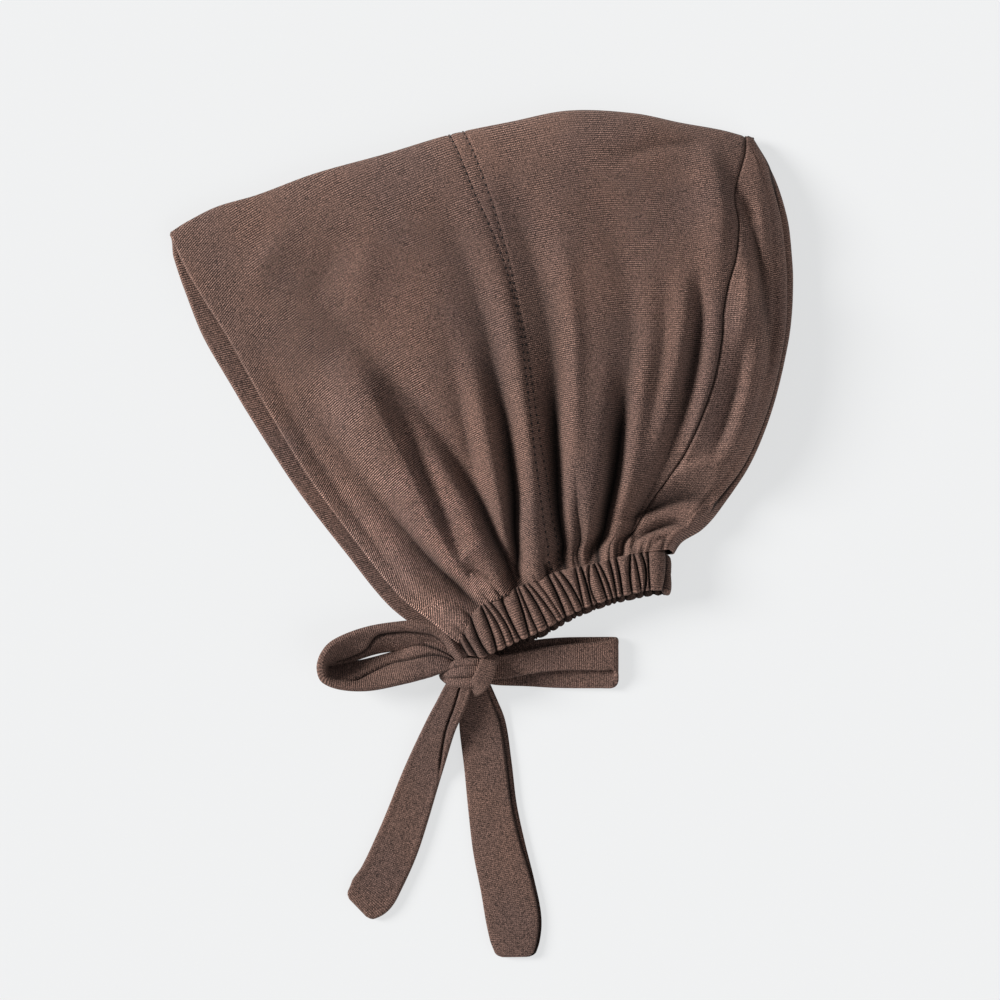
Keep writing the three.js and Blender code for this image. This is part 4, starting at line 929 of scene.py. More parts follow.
def nape_casing():
    """Gathered casing: along the upper side, round the back and along the lower side, with painted shade in
    its creases and on its lower side.
    """
    turn_at = 1 - (CASING_TURN + CASING_THICKNESS / 2 + CASING_INSET) / NAPE_LINE
    near, bend, far = CASING_STEPS
    s = np.concatenate([
        np.linspace(0, turn_at, near)[:-1], np.full(bend, turn_at), np.linspace(turn_at, 0, far)[1:],
    ])
    turn = np.concatenate([np.zeros(near - 1), np.linspace(0, math.pi, bend), np.full(far - 1, math.pi)])
    share = (1 + np.cos(turn)) / 2
    way = NAPE_BACK - NAPE_FRONT
    slanted = np.clip(s + mix(CASING_SLANT[0], CASING_SLANT[1], s) * smooth(s / CASING_SLANT_REACH), 0, 1)
    top = edge_point(NAPE_FRONT, NAPE_BACK, NAPE_BULGE, s, -1) + NAPE_OUT * CASING_GAP
    bottom = NAPE_FRONT + slanted[:, None] * way
    bottom = bottom + follow(CASING_EDGE, slanted)[:, None] * NAPE_OUT * NAPE_LINE
    across = unit(bottom - top)
    width = np.linalg.norm(bottom - top, axis=-1)
    ahead = np.stack([-across[:, 1], across[:, 0]], axis=-1)
    drop = CASING_DROP * smooth((1 - share) * SHOWN_GROWTH)
    middle = (top + bottom) / 2 + NAPE_OUT * drop[:, None] + ahead * (np.sin(turn) * CASING_TURN)[:, None]
    height = mix(CASING_MIDDLE_UNDER, CASING_MIDDLE, share)
    thickness = mix(CASING_UNDER_THICKNESS, CASING_THICKNESS, share)
    up = np.concatenate([ahead * np.sin(turn)[:, None], np.cos(turn)[:, None]], axis=-1)
    flat = np.concatenate([across, np.zeros((len(s), 1))], axis=-1)
    centre = np.concatenate([middle, height[:, None]], axis=-1)
    side, rise = section(CASING_FACETS, CASING_ROUNDNESS)
    around = s + CASING_TURN_SHARE * turn / math.pi
    place = np.where(turn >= math.pi, 2 * turn_at + CASING_TURN_SHARE - s, around)
    creases = casing_creases()
    away, number = crease_distance(place[:, None] + 0 * side, side + 0 * place[:, None], creases)
    # Each crease line sets both the dent and the painted shade in it
    line = np.minimum(1, CREASE_WIDENING * creases[number, 3] * np.exp(-away / CREASE_HALF))
    bed = CREASE_BED * creases[number, 3] * np.exp(-((away / CREASE_ROUNDING) ** 2))
    depth = CREASE_CUT * line + bed
    edge = 1 - CREASE_NOTCH * depth * smooth(side * 2)
    sections = centre[:, None] + flat[:, None] * (side * edge * width[:, None] / 2)[..., None]
    inside = (rise < 0) * share[:, None]
    bulk = (1 - depth * (1 - CASING_INSIDE_CALM * inside)) * (1 + CASING_FULLNESS * inside)
    sections = sections + up[:, None] * (rise * bulk * thickness[:, None] / 2)[..., None]
    # Painted shade on the lower side, added to the painted shade in the creases
    line = np.maximum(line, CASING_UNDER_SHADE * smooth(turn[:, None] / math.pi))
    along = way_along(centre)[:, None] * CASING_CLOTH_ALONG
    over = side * CASING_CLOTH_ACROSS + rise * CASING_CLOTH_RISE
    uv = np.stack(np.broadcast_arrays(along, over, line), axis=-1)
    return closed_tube(sections, uv)


def spline(rows, count):
    """Places between the rows of a table, smooth, one column for each value."""
    rows = np.array(rows, float)
    steps = np.linalg.norm(np.diff(rows[:, :2], axis=0), axis=-1) ** 0.5
    keys = np.concatenate([[0], np.cumsum(steps)])
    t = np.linspace(0, keys[-1], count)
    return np.stack([follow(list(zip(keys, rows[:, k])), t) for k in range(rows.shape[1])], axis=-1)


END_SHRINK = (0.72, 0.9, 0.97)


def strap(path, width, lean, thickness, facets=96, shape=None, along=None, power=4):
    """Flat strap round a path of points, its width turned by lean about the path, or held in one way."""
    way = unit(np.gradient(path, axis=0))
    if along is None:
        flat = unit(np.cross(np.array([0.0, 0.0, 1.0]), way))
        turned = np.radians(lean)[:, None]
        across = flat * np.cos(turned) + np.array([0.0, 0.0, 1.0]) * np.sin(turned)
        across = unit(across - way * (across * way).sum(-1, keepdims=True))
    else:
        across = np.tile(np.array(along), (len(path), 1))
    up = unit(np.cross(way, across))
    length = way_along(path)
    side, rise = (np.tile(row, (len(path), 1)) for row in section(facets, power))
    # A shape gives the strap's bulges and the painted shade of its creases
    bulge, crease_and_shade = (0, 0) if shape is None else shape(length[:, None] / length[-1], side, rise)
    sections = path[:, None] + across[:, None] * (side * width[:, None] / 2)[..., None]
    sections = sections + up[:, None] * (rise * thickness / 2 + bulge)[..., None]
    uv = np.stack(np.broadcast_arrays(side * width[:, None] / 2 + rise, length[:, None], crease_and_shade), axis=-1)
    ends = np.minimum(np.arange(len(path)), np.arange(len(path))[::-1])
    for i, shrink in enumerate(END_SHRINK):
        middle = path[ends == i][:, None]
        sections[ends == i] = middle + (sections[ends == i] - middle) * shrink
    return closed_tube(sections, uv)


KNOT_LIFT = 0.3
TAIL_STEPS = 150
KNOT = np.array([KNOT_ASIDE, -KNOT_DROP, KNOT_HEIGHT / 2 + KNOT_LIFT])


def loop_strap(rows, reach, spread, size, way, count, shape=None, along=None):
    table = spline(rows, count)
    path = np.stack([
        KNOT[0] + way * table[:, 0] * reach, KNOT[1] + table[:, 1] * spread, table[:, 2] * size,
    ], axis=-1)
    return strap(path, table[:, 3] * size, table[:, 4], TIE_THICKNESS, shape=shape, along=along)


def tail_strap(rows, length, tilt, start, shape=None):
    table = spline(rows, TAIL_STEPS)
    begin = KNOT[:2] + np.array([start[0] * KNOT_LENGTH, start[1] * KNOT_BREADTH])
    place = begin + table[:, :1] * length * heading(tilt) + table[:, 1:2] * length * heading(tilt + 90)
    height = np.maximum(table[:, 2] * TIE_WIDTH, TIE_THICKNESS / 2)
    path = np.concatenate([place, height[:, None]], axis=-1)
    return strap(path, table[:, 3] * TIE_WIDTH, np.zeros(len(path)), TIE_THICKNESS, shape=shape)


# Rims and creases of the straps: share of the length, place across from -1 to 1
LOOP_RIM = (
    (0, -0.6), (0.055, -0.5), (0.1, -0.15), (0.163, 0.2), (0.22, 0.38), (0.28, 0.44), (0.32, 0.4),
    (0.37, -0.25), (0.43, -0.5), (0.5, -0.3),
)
LOOP_CREASE = (
    (0.6, 0.6), (0.64, 0.36), (0.69, -0.05), (0.765, -0.3), (0.845, -0.12), (0.935, -0.3), (1, -0.2),
)
LOOP_INNER_CREASE = ((0.8, -1), (0.845, -0.82), (0.9, -0.62), (1, -0.6))
LEFT_TAIL_LAYER = ((0, 0.1), (0.1, 0.3), (0.22, 0.51), (0.34, 0.8), (0.42, 1))
RIGHT_TAIL_LAYER = ((0, 0.55), (0.1, 0.64), (0.22, 0.72), (0.4, 0.74), (0.6, 0.78), (0.78, 0.88), (1, 0.86))


def dip(side, place, half):
    return np.exp(-(((side - place) / half) ** 2))


def rolled_edges(side, rise, height):
    """Edges of a strap that stand up a little on both faces."""
    return height * rise * smooth((np.abs(side) - 0.6) / 0.3)


# Heights and depths on the straps, in millimetres, and half widths of their creases as shares of the breadth
LOOP_RIM_HEIGHT = 0.85
LOOP_RIM_DIP = 1.6
LOOP_CREASE_DEPTH = 2.2
LOOP_INNER_DEPTH = 1.9
LOOP_LOBE_DEPTH = 1.6
LOOP_ROLL_DEPTH = 1.3
LOOP_EDGE_HEIGHT = 0.35
TAIL_EDGE_HEIGHT = 0.4
TAIL_LAYER_HEIGHT = 1.7
TAIL_LAYER_DIP = 1.2
TAIL_UNDER_DEPTH = 1.5
TAIL_UNDER_DIP = 0.6
RIM_DIP_HALF = 0.08
CREASE_DIP_HALF = 0.07
UNDER_DIP_HALF = 0.04


def left_loop_shape(share, side, rise):
    """Rolled rims, and creases of the face that looks into the loop, with painted shade in the creases and
    under the rim.
    """
    line = follow(LOOP_RIM, share)
    first = smooth((0.5 - share) / 0.06)
    rim = LOOP_RIM_HEIGHT * rise * mix(smooth((side - 0.45) / 0.35), smooth((side - line) / 0.3), first)
    inside = smooth(-rise * 3)
    under_rim = dip(side, line - RIM_DIP_HALF, RIM_DIP_HALF) * first
    crease_and_shade = dip(side, follow(LOOP_CREASE, share), CREASE_DIP_HALF) * smooth((share - 0.6) / 0.05)
    second = dip(side, follow(LOOP_INNER_CREASE, share), CREASE_DIP_HALF) * smooth((share - 0.78) / 0.05)
    lobe = -LOOP_LOBE_DEPTH * dip(share, 0.36, 0.05) * dip(side, -0.2, 0.5)
    roll = -LOOP_ROLL_DEPTH * smooth((share - 0.72) / 0.1) * dip(side, 0.3, 0.4)
    lines = LOOP_RIM_DIP * under_rim + LOOP_CREASE_DEPTH * crease_and_shade + LOOP_INNER_DEPTH * second
    # The second value is painted shade in the creases and under the rim
    return rim + inside * (lines + lobe + roll), inside * np.clip(under_rim + crease_and_shade + second, 0, 1)


def left_tail_shape(share, side, rise):
    """Narrow upper layer on the right, down to where it meets the edge, with painted shade along its edge
    line.
    """
    layer = follow(LEFT_TAIL_LAYER, share)
    top = smooth(rise * 3) * smooth((0.42 - share) / 0.1)
    line = dip(side, layer - 0.05, CREASE_DIP_HALF)
    step = TAIL_LAYER_HEIGHT * smooth((side - layer) / 0.12 + 0.5) - TAIL_LAYER_DIP * line
    return top * step + rolled_edges(side, rise, TAIL_EDGE_HEIGHT), top * line


def right_tail_shape(share, side, rise):
    """Lower layer that shows along the right edge, with painted shade along the foot of the upper layer's
    edge.
    """
    layer = follow(RIGHT_TAIL_LAYER, share)
    top = smooth(rise * 3)
    line = dip(side, layer + UNDER_DIP_HALF, UNDER_DIP_HALF)
    step = -TAIL_UNDER_DEPTH * smooth((side - layer) / 0.05) - TAIL_UNDER_DIP * line
    return top * step, top * line


def right_loop_shape(share, side, rise):
    return rolled_edges(side, rise, LOOP_EDGE_HEIGHT), 0


# Wraps of the knot: out, side and height from the middle of the knot, and width, in millimetres
WRAPS = (
    (
        (-8.8, -0.2, -1, 2.2), (-5.4, 2.6, 2, 3.4), (-1, 4.9, 3.8, 3.9), (6, 5.3, 4.4, 4.1),
        (10.5, 5.2, 3.5, 4.2),
    ),
    ((-9.2, -0.9, -1, 2.2), (-5, 0.3, 2.8, 4.2), (0, 1.2, 4.8, 5.1), (6, 1.3, 5, 5.3), (10.5, 1.2, 4, 5.2)),
    (
        (-9, -1.6, -2, 2.4), (-5, -3.3, 1.6, 4.2), (0, -3.7, 3.8, 4.9), (6, -3.6, 4.4, 5),
        (10.5, -3.2, 3.4, 5),
    ),
)
WRAP_THICKNESS = 4.6
WRAP_STEPS = 60
CORE_BREADTH = 0.93
CORE_HEIGHT = 0.8
CORE_DROP = 0.6
CORE_STEPS = 40
CORE_FACETS = 48


def knot_core():
    """Egg-shaped middle of the knot, given painted shade all over where it shows between the wraps."""
    turn = np.linspace(0.02, 0.98, CORE_STEPS)[:, None] * math.pi
    around = 2 * math.pi * np.arange(CORE_FACETS)[None] / CORE_FACETS
    x = KNOT[0] + KNOT_LENGTH / 2 * CORE_BREADTH * np.sin(turn) * np.cos(around)
    y = KNOT[1] + KNOT_BREADTH / 2 * CORE_BREADTH * np.cos(turn) * np.ones_like(around)
    z = KNOT[2] + KNOT_HEIGHT / 2 * CORE_HEIGHT * np.sin(turn) * np.sin(around) - CORE_DROP
    # Painted shade: the whole core carries a crease mask of 0.6
    uv = np.stack(np.broadcast_arrays(around * 7, turn * 7, 0.6), axis=-1)
    return closed_tube(np.stack([x, y, z], axis=-1), uv)


def wrap(rows):
    table = spline(rows, WRAP_STEPS)
    path = KNOT + table[:, :3]
    return strap(path, table[:, 3], np.zeros(WRAP_STEPS), WRAP_THICKNESS, facets=40, power=2.3)


# Materials
def settle(made, values):
    """A node, with the inputs that are named set to their values."""
    for label, value in values.items():
        made.inputs[label].default_value = value
    return made


def socketed_tree(name, kind, inputs, outputs):
    """Tree of nodes with inputs and outputs of its own, and the two nodes that stand for them."""
    tree = bpy.data.node_groups.new(name, kind)
    for way, sockets in (("INPUT", inputs), ("OUTPUT", outputs)):
        for label, socket_kind, *default in sockets:
            socket = tree.interface.new_socket(label, in_out=way, socket_type="NodeSocket" + socket_kind)
            if default:
                socket.default_value = default[0]
    return tree, tree.nodes.new("NodeGroupInput"), tree.nodes.new("NodeGroupOutput")


def maths(tree, operation, *values):
    """Arithmetic on numbers and on what other nodes give."""
    made = tree.nodes.new("ShaderNodeMath")
    made.operation = operation
    for socket, value in zip(made.inputs, values):
        if isinstance(value, (int, float)):
            socket.default_value = value
        else:
            tree.links.new(value, socket)
    return made.outputs[0]


def noise(tree, place, scale, detail=2):
    made = settle(tree.nodes.new("ShaderNodeTexNoise"), {"Scale": scale, "Detail": detail})
    tree.links.new(place, made.inputs["Vector"])
    return made.outputs["Fac"]


def remap(tree, value, start, end, low=0, high=1):
    """Goes from low to high while the value goes from start to end."""
    ends = {"From Min": start, "From Max": end, "To Min": low, "To Max": high}
    made = settle(tree.nodes.new("ShaderNodeMapRange"), ends)
    tree.links.new(value, made.inputs["Value"])
    return made.outputs["Result"]


def blend(tree, value, stops):
    """Colour that passes through the stops, each a place and a colour, as the value rises."""
    ramp = tree.nodes.new("ShaderNodeValToRGB")
    elements = ramp.color_ramp.elements
    for element, (place, colour) in zip(elements, (stops[0], stops[-1])):
        element.position = place
        element.color = colour
    for place, colour in stops[1:-1]:
        elements.new(place).color = colour
    tree.links.new(value, ramp.inputs["Fac"])
    return ramp.outputs["Color"]


def new_material(name):
    material = bpy.data.materials.new(name)
    material.use_nodes = True
    return material, material.node_tree, material.node_tree.nodes["Principled BSDF"]


# Knit: how fine its unevenness and its worn patches are, how far a row leans and waves, and its heights
UNEVEN_SCALE = 700
WORN_SCALE = 75
WALE_LEAN = 0.3
WALE_WAVE = 0.45
COURSE_HEIGHT = 0.8
WALE_HEIGHT = 0.15


def knit_group():
    """Knit of the jersey: rows of loops across the cloth, as a height and as light and dark yarn."""
    group, entry, out = socketed_tree(
        "jersey_knit", "ShaderNodeTree",
        (("Place", "Vector"), ("Wale", "Float", 0.8), ("Course", "Float", 0.9), ("Open", "Float", 0.5)),
        (("Height", "Float"), ("Yarn", "Float")),
    )
    place = entry.outputs["Place"]
    split = group.nodes.new("ShaderNodeSeparateXYZ")
    group.links.new(place, split.inputs[0])
    uneven = noise(group, place, UNEVEN_SCALE, 1)
    worn = noise(group, place, WORN_SCALE)
    x = maths(group, "DIVIDE", split.outputs["X"], entry.outputs["Wale"])
    y = maths(group, "DIVIDE", split.outputs["Y"], entry.outputs["Course"])
    slanted = maths(group, "ADD", y, maths(group, "MULTIPLY", maths(group, "PINGPONG", x, 0.5), WALE_LEAN))
    slanted = maths(group, "ADD", slanted, maths(group, "MULTIPLY", uneven, WALE_WAVE))
    course = maths(group, "SINE", maths(group, "MULTIPLY", slanted, 2 * math.pi))
    wale = maths(group, "COSINE", maths(group, "MULTIPLY", x, 2 * math.pi))
    course = maths(group, "MULTIPLY", course, COURSE_HEIGHT)
    height = maths(group, "ADD", course, maths(group, "MULTIPLY", wale, WALE_HEIGHT))
    clear = maths(group, "MULTIPLY", remap(group, worn, 0.38, 0.6, 0.4, 1.2), entry.outputs["Open"])
    group.links.new(height, out.inputs["Height"])
    group.links.new(maths(group, "MULTIPLY", height, clear), out.inputs["Yarn"])
    return group


# Colours of the jersey, and where each stands in the patches
JERSEY_STOPS = ((0.36, (0.120, 0.072, 0.059)), (0.5, (0.131, 0.077, 0.061)), (0.66, (0.145, 0.083, 0.064)))
PATCH_SCALE = 28
GRAIN_SCALE = 1900
FUZZ_SCALE = 1600
FUZZ_HEIGHT = 1.2
BUMP_DEPTH = 0.22 * MM
YARN_CONTRAST = 1.1
CREASE_SHADE = 0.92

# Stretched corner of the nape, which also gets painted light: axis of the cut cloth, where the stretch
# starts to fade and where it is gone, in metres
STRETCH = (("X", 0.045, 0.11), ("Y", 0.02, 0.145))
PANEL_OPEN = 0.85
STRETCH_OPEN = 1.2
STRETCH_PAINTED_LIGHT = 0.32


def stretched_and_painted_light_zone(tree, cloth):
    """Share from 0 to 1 by which the cloth is stretched open and given painted light, most at the front of
    the nape.
    """
    split = tree.nodes.new("ShaderNodeSeparateXYZ")
    tree.links.new(cloth, split.inputs[0])
    shares = [remap(tree, split.outputs[axis], end, start) for axis, start, end in STRETCH]
    for share in shares:
        share.node.interpolation_type = "SMOOTHSTEP"
    return maths(tree, "MULTIPLY", *shares)


def jersey(name, knit, wale, course, open_knit=None, tone=1.0):
    """Brown jersey: patchy colour, knit, grain and fuzz, with painted shade in its creases. The knit shows
    as far as open_knit says, or where the cloth is stretched, and the stretched corner also gets painted
    light. A tone over 1 makes the cloth lighter."""
    material, tree, shader = new_material(name)
    cloth = tree.nodes.new("ShaderNodeUVMap")
    cloth.uv_map = "cloth"
    place = tree.nodes.new("ShaderNodeTexCoord").outputs["Object"]
    weave = tree.nodes.new("ShaderNodeGroup")
    weave.node_tree = knit
    settle(weave, {"Wale": wale * MM, "Course": course * MM})
    tree.links.new(cloth.outputs["UV"], weave.inputs["Place"])
    zone = None
    if open_knit is None:
        zone = stretched_and_painted_light_zone(tree, cloth.outputs["UV"])
        tree.links.new(maths(tree, "MULTIPLY_ADD", zone, STRETCH_OPEN, PANEL_OPEN), weave.inputs["Open"])
    else:
        weave.inputs["Open"].default_value = open_knit
    stops = [(at, [c * tone for c in colour] + [1]) for at, colour in JERSEY_STOPS]
    colour = blend(tree, noise(tree, place, PATCH_SCALE, 3), stops)
    grain = noise(tree, place, GRAIN_SCALE, 1)
    speck = remap(tree, grain, 0.25, 0.75, 0.1, 1.95)
    yarn = maths(tree, "MULTIPLY_ADD", weave.outputs["Yarn"], YARN_CONTRAST, 1)
    crease_and_shade = tree.nodes.new("ShaderNodeAttribute")
    crease_and_shade.attribute_name = "crease_and_shade"
    # Painted shade: the crease mask darkens the colour by up to CREASE_SHADE
    painted_shade_factor = maths(tree, "MULTIPLY_ADD", crease_and_shade.outputs["Fac"], -CREASE_SHADE, 1)
    shade = maths(tree, "MULTIPLY", maths(tree, "MULTIPLY", speck, yarn), painted_shade_factor)
    if zone is not None:
        # Painted light: the colour in the stretched corner is made up to a third lighter
        shade = maths(tree, "MULTIPLY", shade, maths(tree, "MULTIPLY_ADD", zone, STRETCH_PAINTED_LIGHT, 1))
    tint = tree.nodes.new("ShaderNodeVectorMath")
    tint.operation = "SCALE"
    tree.links.new(colour, tint.inputs[0])
    tree.links.new(shade, tint.inputs["Scale"])
    tree.links.new(tint.outputs["Vector"], shader.inputs["Base Color"])
    fuzz = noise(tree, place, FUZZ_SCALE, 3)
    bump = settle(tree.nodes.new("ShaderNodeBump"), {"Strength": 0.7, "Distance": BUMP_DEPTH})
    height = maths(tree, "MULTIPLY_ADD", fuzz, FUZZ_HEIGHT, weave.outputs["Height"])
    tree.links.new(height, bump.inputs["Height"])
    tree.links.new(bump.outputs["Normal"], shader.inputs["Normal"])
    tree.links.new(remap(tree, grain, 0, 1, 0.82, 0.97), shader.inputs["Roughness"])
    sheen = {"Sheen Weight": 0.12, "Sheen Roughness": 0.5, "Sheen Tint": (0.75, 0.55, 0.47, 1)}
    settle(shader, {**sheen, "Specular IOR Level": 0.25})
    return material


def plain(name, colour, roughness):
    material, tree, shader = new_material(name)
    specks = noise(tree, tree.nodes.new("ShaderNodeTexCoord").outputs["Object"], 1800)
    dark = [c * 0.75 for c in colour] + [1]
    light = [min(1, c * 1.2) for c in colour] + [1]
    tree.links.new(blend(tree, specks, ((0, dark), (1, light))), shader.inputs["Base Color"])
    settle(shader, {"Roughness": roughness})
    return material


knit = knit_group()
panel_jersey = jersey("panel_jersey", knit, 1.0, 0.95)
# Painted light: the gusset's cloth is a lighter copy, tone 1.2, because the gusset slopes away from the key
# light
gusset_jersey_painted_light = jersey("gusset_jersey_painted_light", knit, 1.0, 0.95, 0.8, 1.2)
# Painted light: the casing's cloth is a slightly lighter copy, tone 1.06
casing_jersey_painted_light = jersey("casing_jersey_painted_light", knit, 0.95, 1.0, 0.6, 1.06)
tie_jersey = jersey("tie_jersey_cloth", knit, 0.9, 0.85, 0.4, 0.95)
thread = plain("seam_thread", (0.10, 0.058, 0.046), 0.7)
hole = plain("needle_holes", (0.012, 0.007, 0.006), 0.95)


def dress(piece, material, node_name):
    piece.data.materials.append(material)
    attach(piece, "root")
    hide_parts(node_name)
    return piece


def cap_piece(name, node_name, material, body):
    return dress(make_piece(name, body), material, node_name)


def tie_piece(name, node_name, *bodies):
    return dress(make_piece(name, *bodies), tie_jersey, node_name)


# Stitches, made along the seam by geometry nodes: the nodes, and the links between their sockets
STITCH_NODES = {
    "curve": "GeometryNodeMeshToCurve",
    "steps": "GeometryNodeResampleCurve",
    "ball": "GeometryNodeMeshUVSphere",
    "size": "ShaderNodeCombineXYZ",
    "place": "GeometryNodeInstanceOnPoints",
    "tangent": "GeometryNodeInputTangent",
    "surface": "GeometryNodeInputNamedAttribute",
    "along": "FunctionNodeAlignRotationToVector",
    "above": "FunctionNodeAlignRotationToVector",
    "slide": "GeometryNodeSetPosition",
    "move": "ShaderNodeVectorMath",
    "realize": "GeometryNodeRealizeInstances",
    "soften": "GeometryNodeSetShadeSmooth",
    "finish": "GeometryNodeSetMaterial",
}
STITCH_LINKS = (
    ("entry", "Geometry", "curve", "Mesh"), ("curve", "Curve", "steps", "Curve"),
    ("entry", "Pitch", "steps", "Length"), ("tangent", "Tangent", "move", 0),
    ("entry", "Shift", "move", "Scale"), ("steps", "Curve", "slide", "Geometry"),
    ("move", "Vector", "slide", "Offset"), ("slide", "Geometry", "place", "Points"),
    ("entry", "Length", "size", "X"), ("entry", "Radius", "size", "Y"), ("entry", "Flat", "size", "Z"),
    ("ball", "Mesh", "place", "Instance"), ("size", "Vector", "place", "Scale"),
    ("tangent", "Tangent", "along", "Vector"), ("surface", "Attribute", "above", "Vector"),
    ("along", "Rotation", "above", "Rotation"), ("above", "Rotation", "place", "Rotation"),
    ("place", "Instances", "realize", "Geometry"), ("realize", "Geometry", "soften", "Geometry"),
    ("soften", "Geometry", "finish", "Geometry"), ("entry", "Material", "finish", "Material"),
    ("finish", "Geometry", "out", "Geometry"),
)


def stitch_tree(name, radius, length, height, shift):
    tree, entry, out = socketed_tree(
        name, "GeometryNodeTree",
        (
            ("Geometry", "Geometry"), ("Pitch", "Float", STITCH_PITCH * MM), ("Radius", "Float", radius),
            ("Length", "Float", length), ("Flat", "Float", height), ("Shift", "Float", shift),
            ("Material", "Material"),
        ),
        (("Geometry", "Geometry"),),
    )
    made = {label: tree.nodes.new(kind) for label, kind in STITCH_NODES.items()}
    made["entry"] = entry
    made["out"] = out
    made["steps"].mode = "LENGTH"
    made["surface"].data_type = "FLOAT_VECTOR"
    made["along"].axis = "X"
    made["above"].axis = "Z"
    made["above"].pivot_axis = "X"
    made["move"].operation = "SCALE"
    settle(made["ball"], {"Segments": 8, "Rings": 6, "Radius": 1})
    settle(made["surface"], {"Name": "surface_normal"})
    for source, output, target, socket in STITCH_LINKS:
        tree.links.new(made[source].outputs[output], made[target].inputs[socket])
    return tree


# Points along the stitch rows: level where each stretch starts and ends, and how many
GUIDE_LEVELS = ((0.012, 0.93, 300), (0.935, 1.06, 60), (1.065, 1.985, 260))
GUIDE_STEP = 0.003


def seam_guides(name):
    """Edges along both stitch rows, on the cloth, with the cloth's normal at each point."""
    w = np.concatenate([np.linspace(*stretch) for stretch in GUIDE_LEVELS])
    v = level_of(w)
    points = []
    normals = []
    edges = []
    for row in (front_seam, second_row):
        u = np.stack([row(v) - GUIDE_STEP, row(v), row(v) + GUIDE_STEP], axis=1)
        base, rise, _ = side_grid(u, np.repeat(w[:, None], 3, 1))
        facing = grid_normals(base)[:, 1]
        base[..., 2] += rise
        normal = grid_normals(base)[:, 1]
        sink = stitch_grooves(row(v), v)
        line = base[:, 1] - facing * sink[:, None] + normal * STITCH_LIFT
        start = len(points)
        points.extend(((line + origin) * MM).tolist())
        normals.extend(normal.tolist())
        edges.extend((start + i, start + i + 1) for i in range(len(w) - 1))
    mesh = bpy.data.meshes.new(name)
    mesh.from_pydata(points, edges, [])
    attribute = mesh.attributes.new("surface_normal", "FLOAT_VECTOR", "POINT")
    attribute.data.foreach_set("vector", np.array(normals).ravel())
    return in_scene(name, mesh)


def stitched(name, radius, length, shift, material):
    """Small flattened balls along both stitch rows, as one piece."""
    guide = seam_guides(name + "_guide")
    guide_mesh = guide.data
    tree = stitch_tree(name + "_nodes", radius * MM, length * MM, STITCH_HALF_HEIGHT * MM, shift * MM)
    modifier = guide.modifiers.new("stitches", "NODES")
    modifier.node_group = tree
    for item in tree.interface.items_tree:
        if item.in_out == "INPUT" and item.name == "Material":
            modifier[item.identifier] = material
    graph = bpy.context.evaluated_depsgraph_get()
    mesh = bpy.data.meshes.new_from_object(guide.evaluated_get(graph))
    mesh.name = name
    piece = in_scene(name, mesh)
    bpy.data.objects.remove(guide)
    bpy.data.meshes.remove(guide_mesh)
    if not mesh.materials:
        mesh.materials.append(material)
    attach(piece, "root")
    return piece


# Cap
face_band = cap_piece(
    "face_band", "front_band", panel_jersey,
    side_panel(
        lambda v: 0 * v, lambda v: front_seam(v) + BAND_OVERLAP, PANEL_COLUMNS, BAND_WALL, stitch_grooves,
    ),
)
crown = cap_piece(
    "crown_cloth", "crown_panel", panel_jersey,
    side_panel(lambda v: front_seam(v) - UNDERLAP, back_seam, PANEL_COLUMNS, CLOTH_WALL, crown_sink),
)
gusset = cap_piece("back_gusset", "back_panel", gusset_jersey_painted_light, gusset_wall())
casing = cap_piece("gathered_casing", "nape_casing", casing_jersey_painted_light, nape_casing())

# Bow
TOWARD_CROWN = (0.0, 1.0, 0.0)
knot = tie_piece("knot_wraps", "tie_knot", knot_core(), *map(wrap, WRAPS))
band = tie_piece("knot_strap", "knot_band", loop_strap(KNOT_BAND, KNOT_DROP, KNOT_DROP, TIE_WIDTH, 1, 60))
left_loop = tie_piece(
    "left_loop", "bow_loop_left", loop_strap(LEFT_LOOP, 1, 1, 1, -1, 300, left_loop_shape),
)
right_loop = tie_piece(
    "right_loop", "bow_loop_right",
    loop_strap(RIGHT_LOOP, RIGHT_LOOP_REACH, TIE_WIDTH, TIE_WIDTH, 1, 220, right_loop_shape, TOWARD_CROWN),
)
left_tail = tie_piece(
    "left_tail", "tie_tail_left",
    tail_strap(LEFT_TAIL, LEFT_TAIL_LENGTH, LEFT_TAIL_TILT, LEFT_TAIL_START, left_tail_shape),
)
right_tail = tie_piece(
    "right_tail", "tie_tail_right",
    tail_strap(RIGHT_TAIL, RIGHT_TAIL_LENGTH, RIGHT_TAIL_TILT, RIGHT_TAIL_START, right_tail_shape),
)

# Topstitching of the front seam
stitches = stitched("seam_stitches", STITCH_THICKNESS / 2, STITCH_HALF_LENGTH, STITCH_PITCH / 2, thread)
holes = stitched("seam_needle_holes", HOLE_HALF_BREADTH, HOLE_HALF_LENGTH, 0, hole)

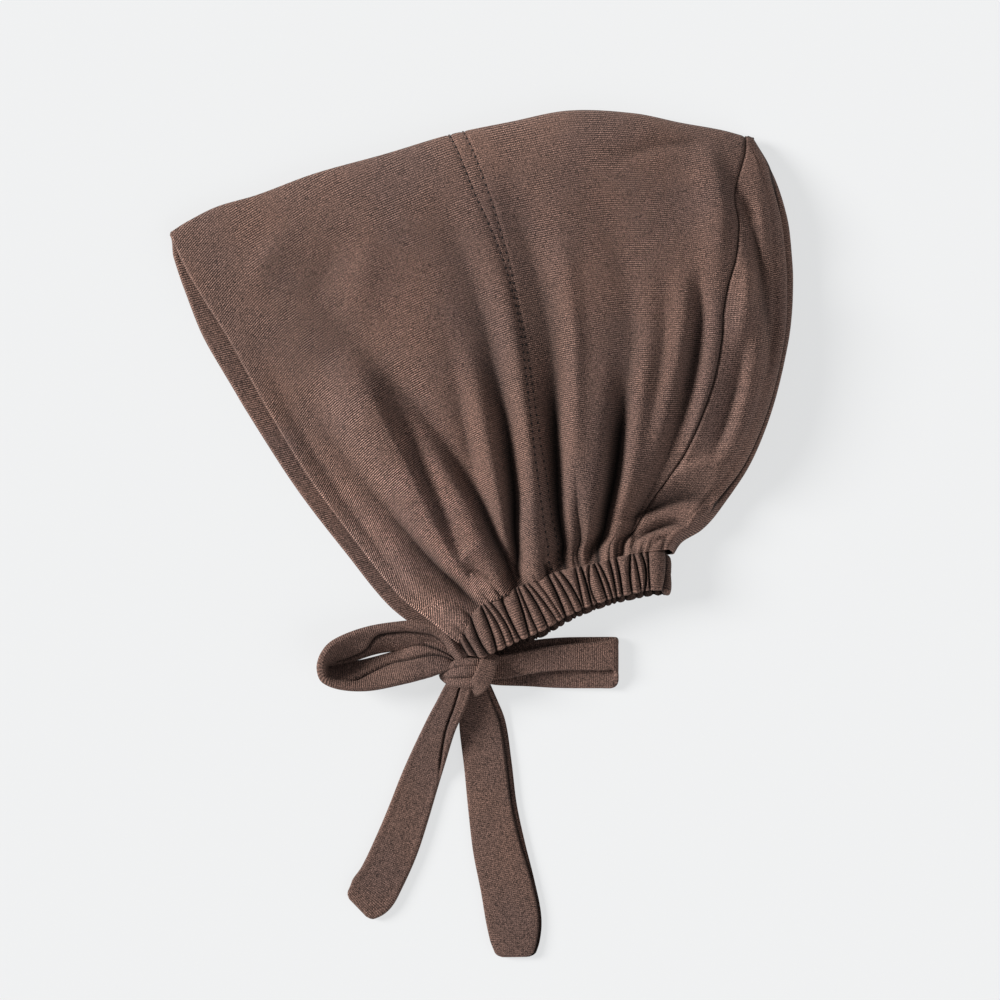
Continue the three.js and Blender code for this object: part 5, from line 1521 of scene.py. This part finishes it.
# Floor, light and camera
FLOOR_DROP = 0.2
FLOOR_GREY = (0.19, 0.192, 0.194, 1)
FLOOR_GLOW = (0.985, 0.995, 1, 1)
FLOOR_GLOW_STRENGTH = 0.66
SKY = (0.93, 0.96, 1.0, 1)
SKY_STRENGTH = 0.24

bpy.ops.mesh.primitive_plane_add(size=6)
floor = bpy.context.object
floor.name = "floor"
ground, _, ground_shader = new_material("pale_floor")
settle(ground_shader, {"Base Color": FLOOR_GREY, "Roughness": 0.9, "Specular IOR Level": 0.1})
settle(ground_shader, {"Emission Color": FLOOR_GLOW, "Emission Strength": FLOOR_GLOW_STRENGTH})
floor.data.materials.append(ground)
floor.location.z = -FLOOR_DROP * MM

world = bpy.data.worlds.new("studio")
world.use_nodes = True
settle(world.node_tree.nodes["Background"], {"Color": SKY, "Strength": SKY_STRENGTH})
bpy.context.scene.world = world


def sun(name, bearing, elevation, spread, strength, colour):
    """Even light from a bearing and elevation, in degrees, softened over a spread."""
    data = bpy.data.lights.new(name, "SUN")
    data.angle = math.radians(spread)
    data.energy = strength
    data.color = colour
    lamp = in_scene(name, data)
    lift = math.radians(elevation)
    turn = math.radians(bearing)
    toward = Vector((math.cos(turn) * math.cos(lift), math.sin(turn) * math.cos(lift), math.sin(lift)))
    lamp.rotation_euler = toward.to_track_quat("Z", "Y").to_euler()


sun("key", 165, 26, 22, 5.6, (1.0, 0.985, 0.97))
sun("fill", -40, 28, 60, 1.0, (1.0, 0.98, 0.97))

SENSOR = 36
middle_pixels = np.array([PICTURE / 2 - NAPE_FRONT_PIXEL[0], NAPE_FRONT_PIXEL[1] - PICTURE / 2])
picture_middle = (middle_pixels * PIXEL + origin[:2]) * MM
camera_data = bpy.data.cameras.new("camera")
camera_data.sensor_width = SENSOR
camera_data.lens = SENSOR * CAMERA_HEIGHT / (PICTURE * PIXEL)
camera_data.clip_end = 20
camera = in_scene("camera", camera_data)
camera.location = (picture_middle[0], picture_middle[1], CAMERA_HEIGHT * MM)
bpy.context.scene.camera = camera
bpy.context.scene.view_settings.view_transform = "Standard"
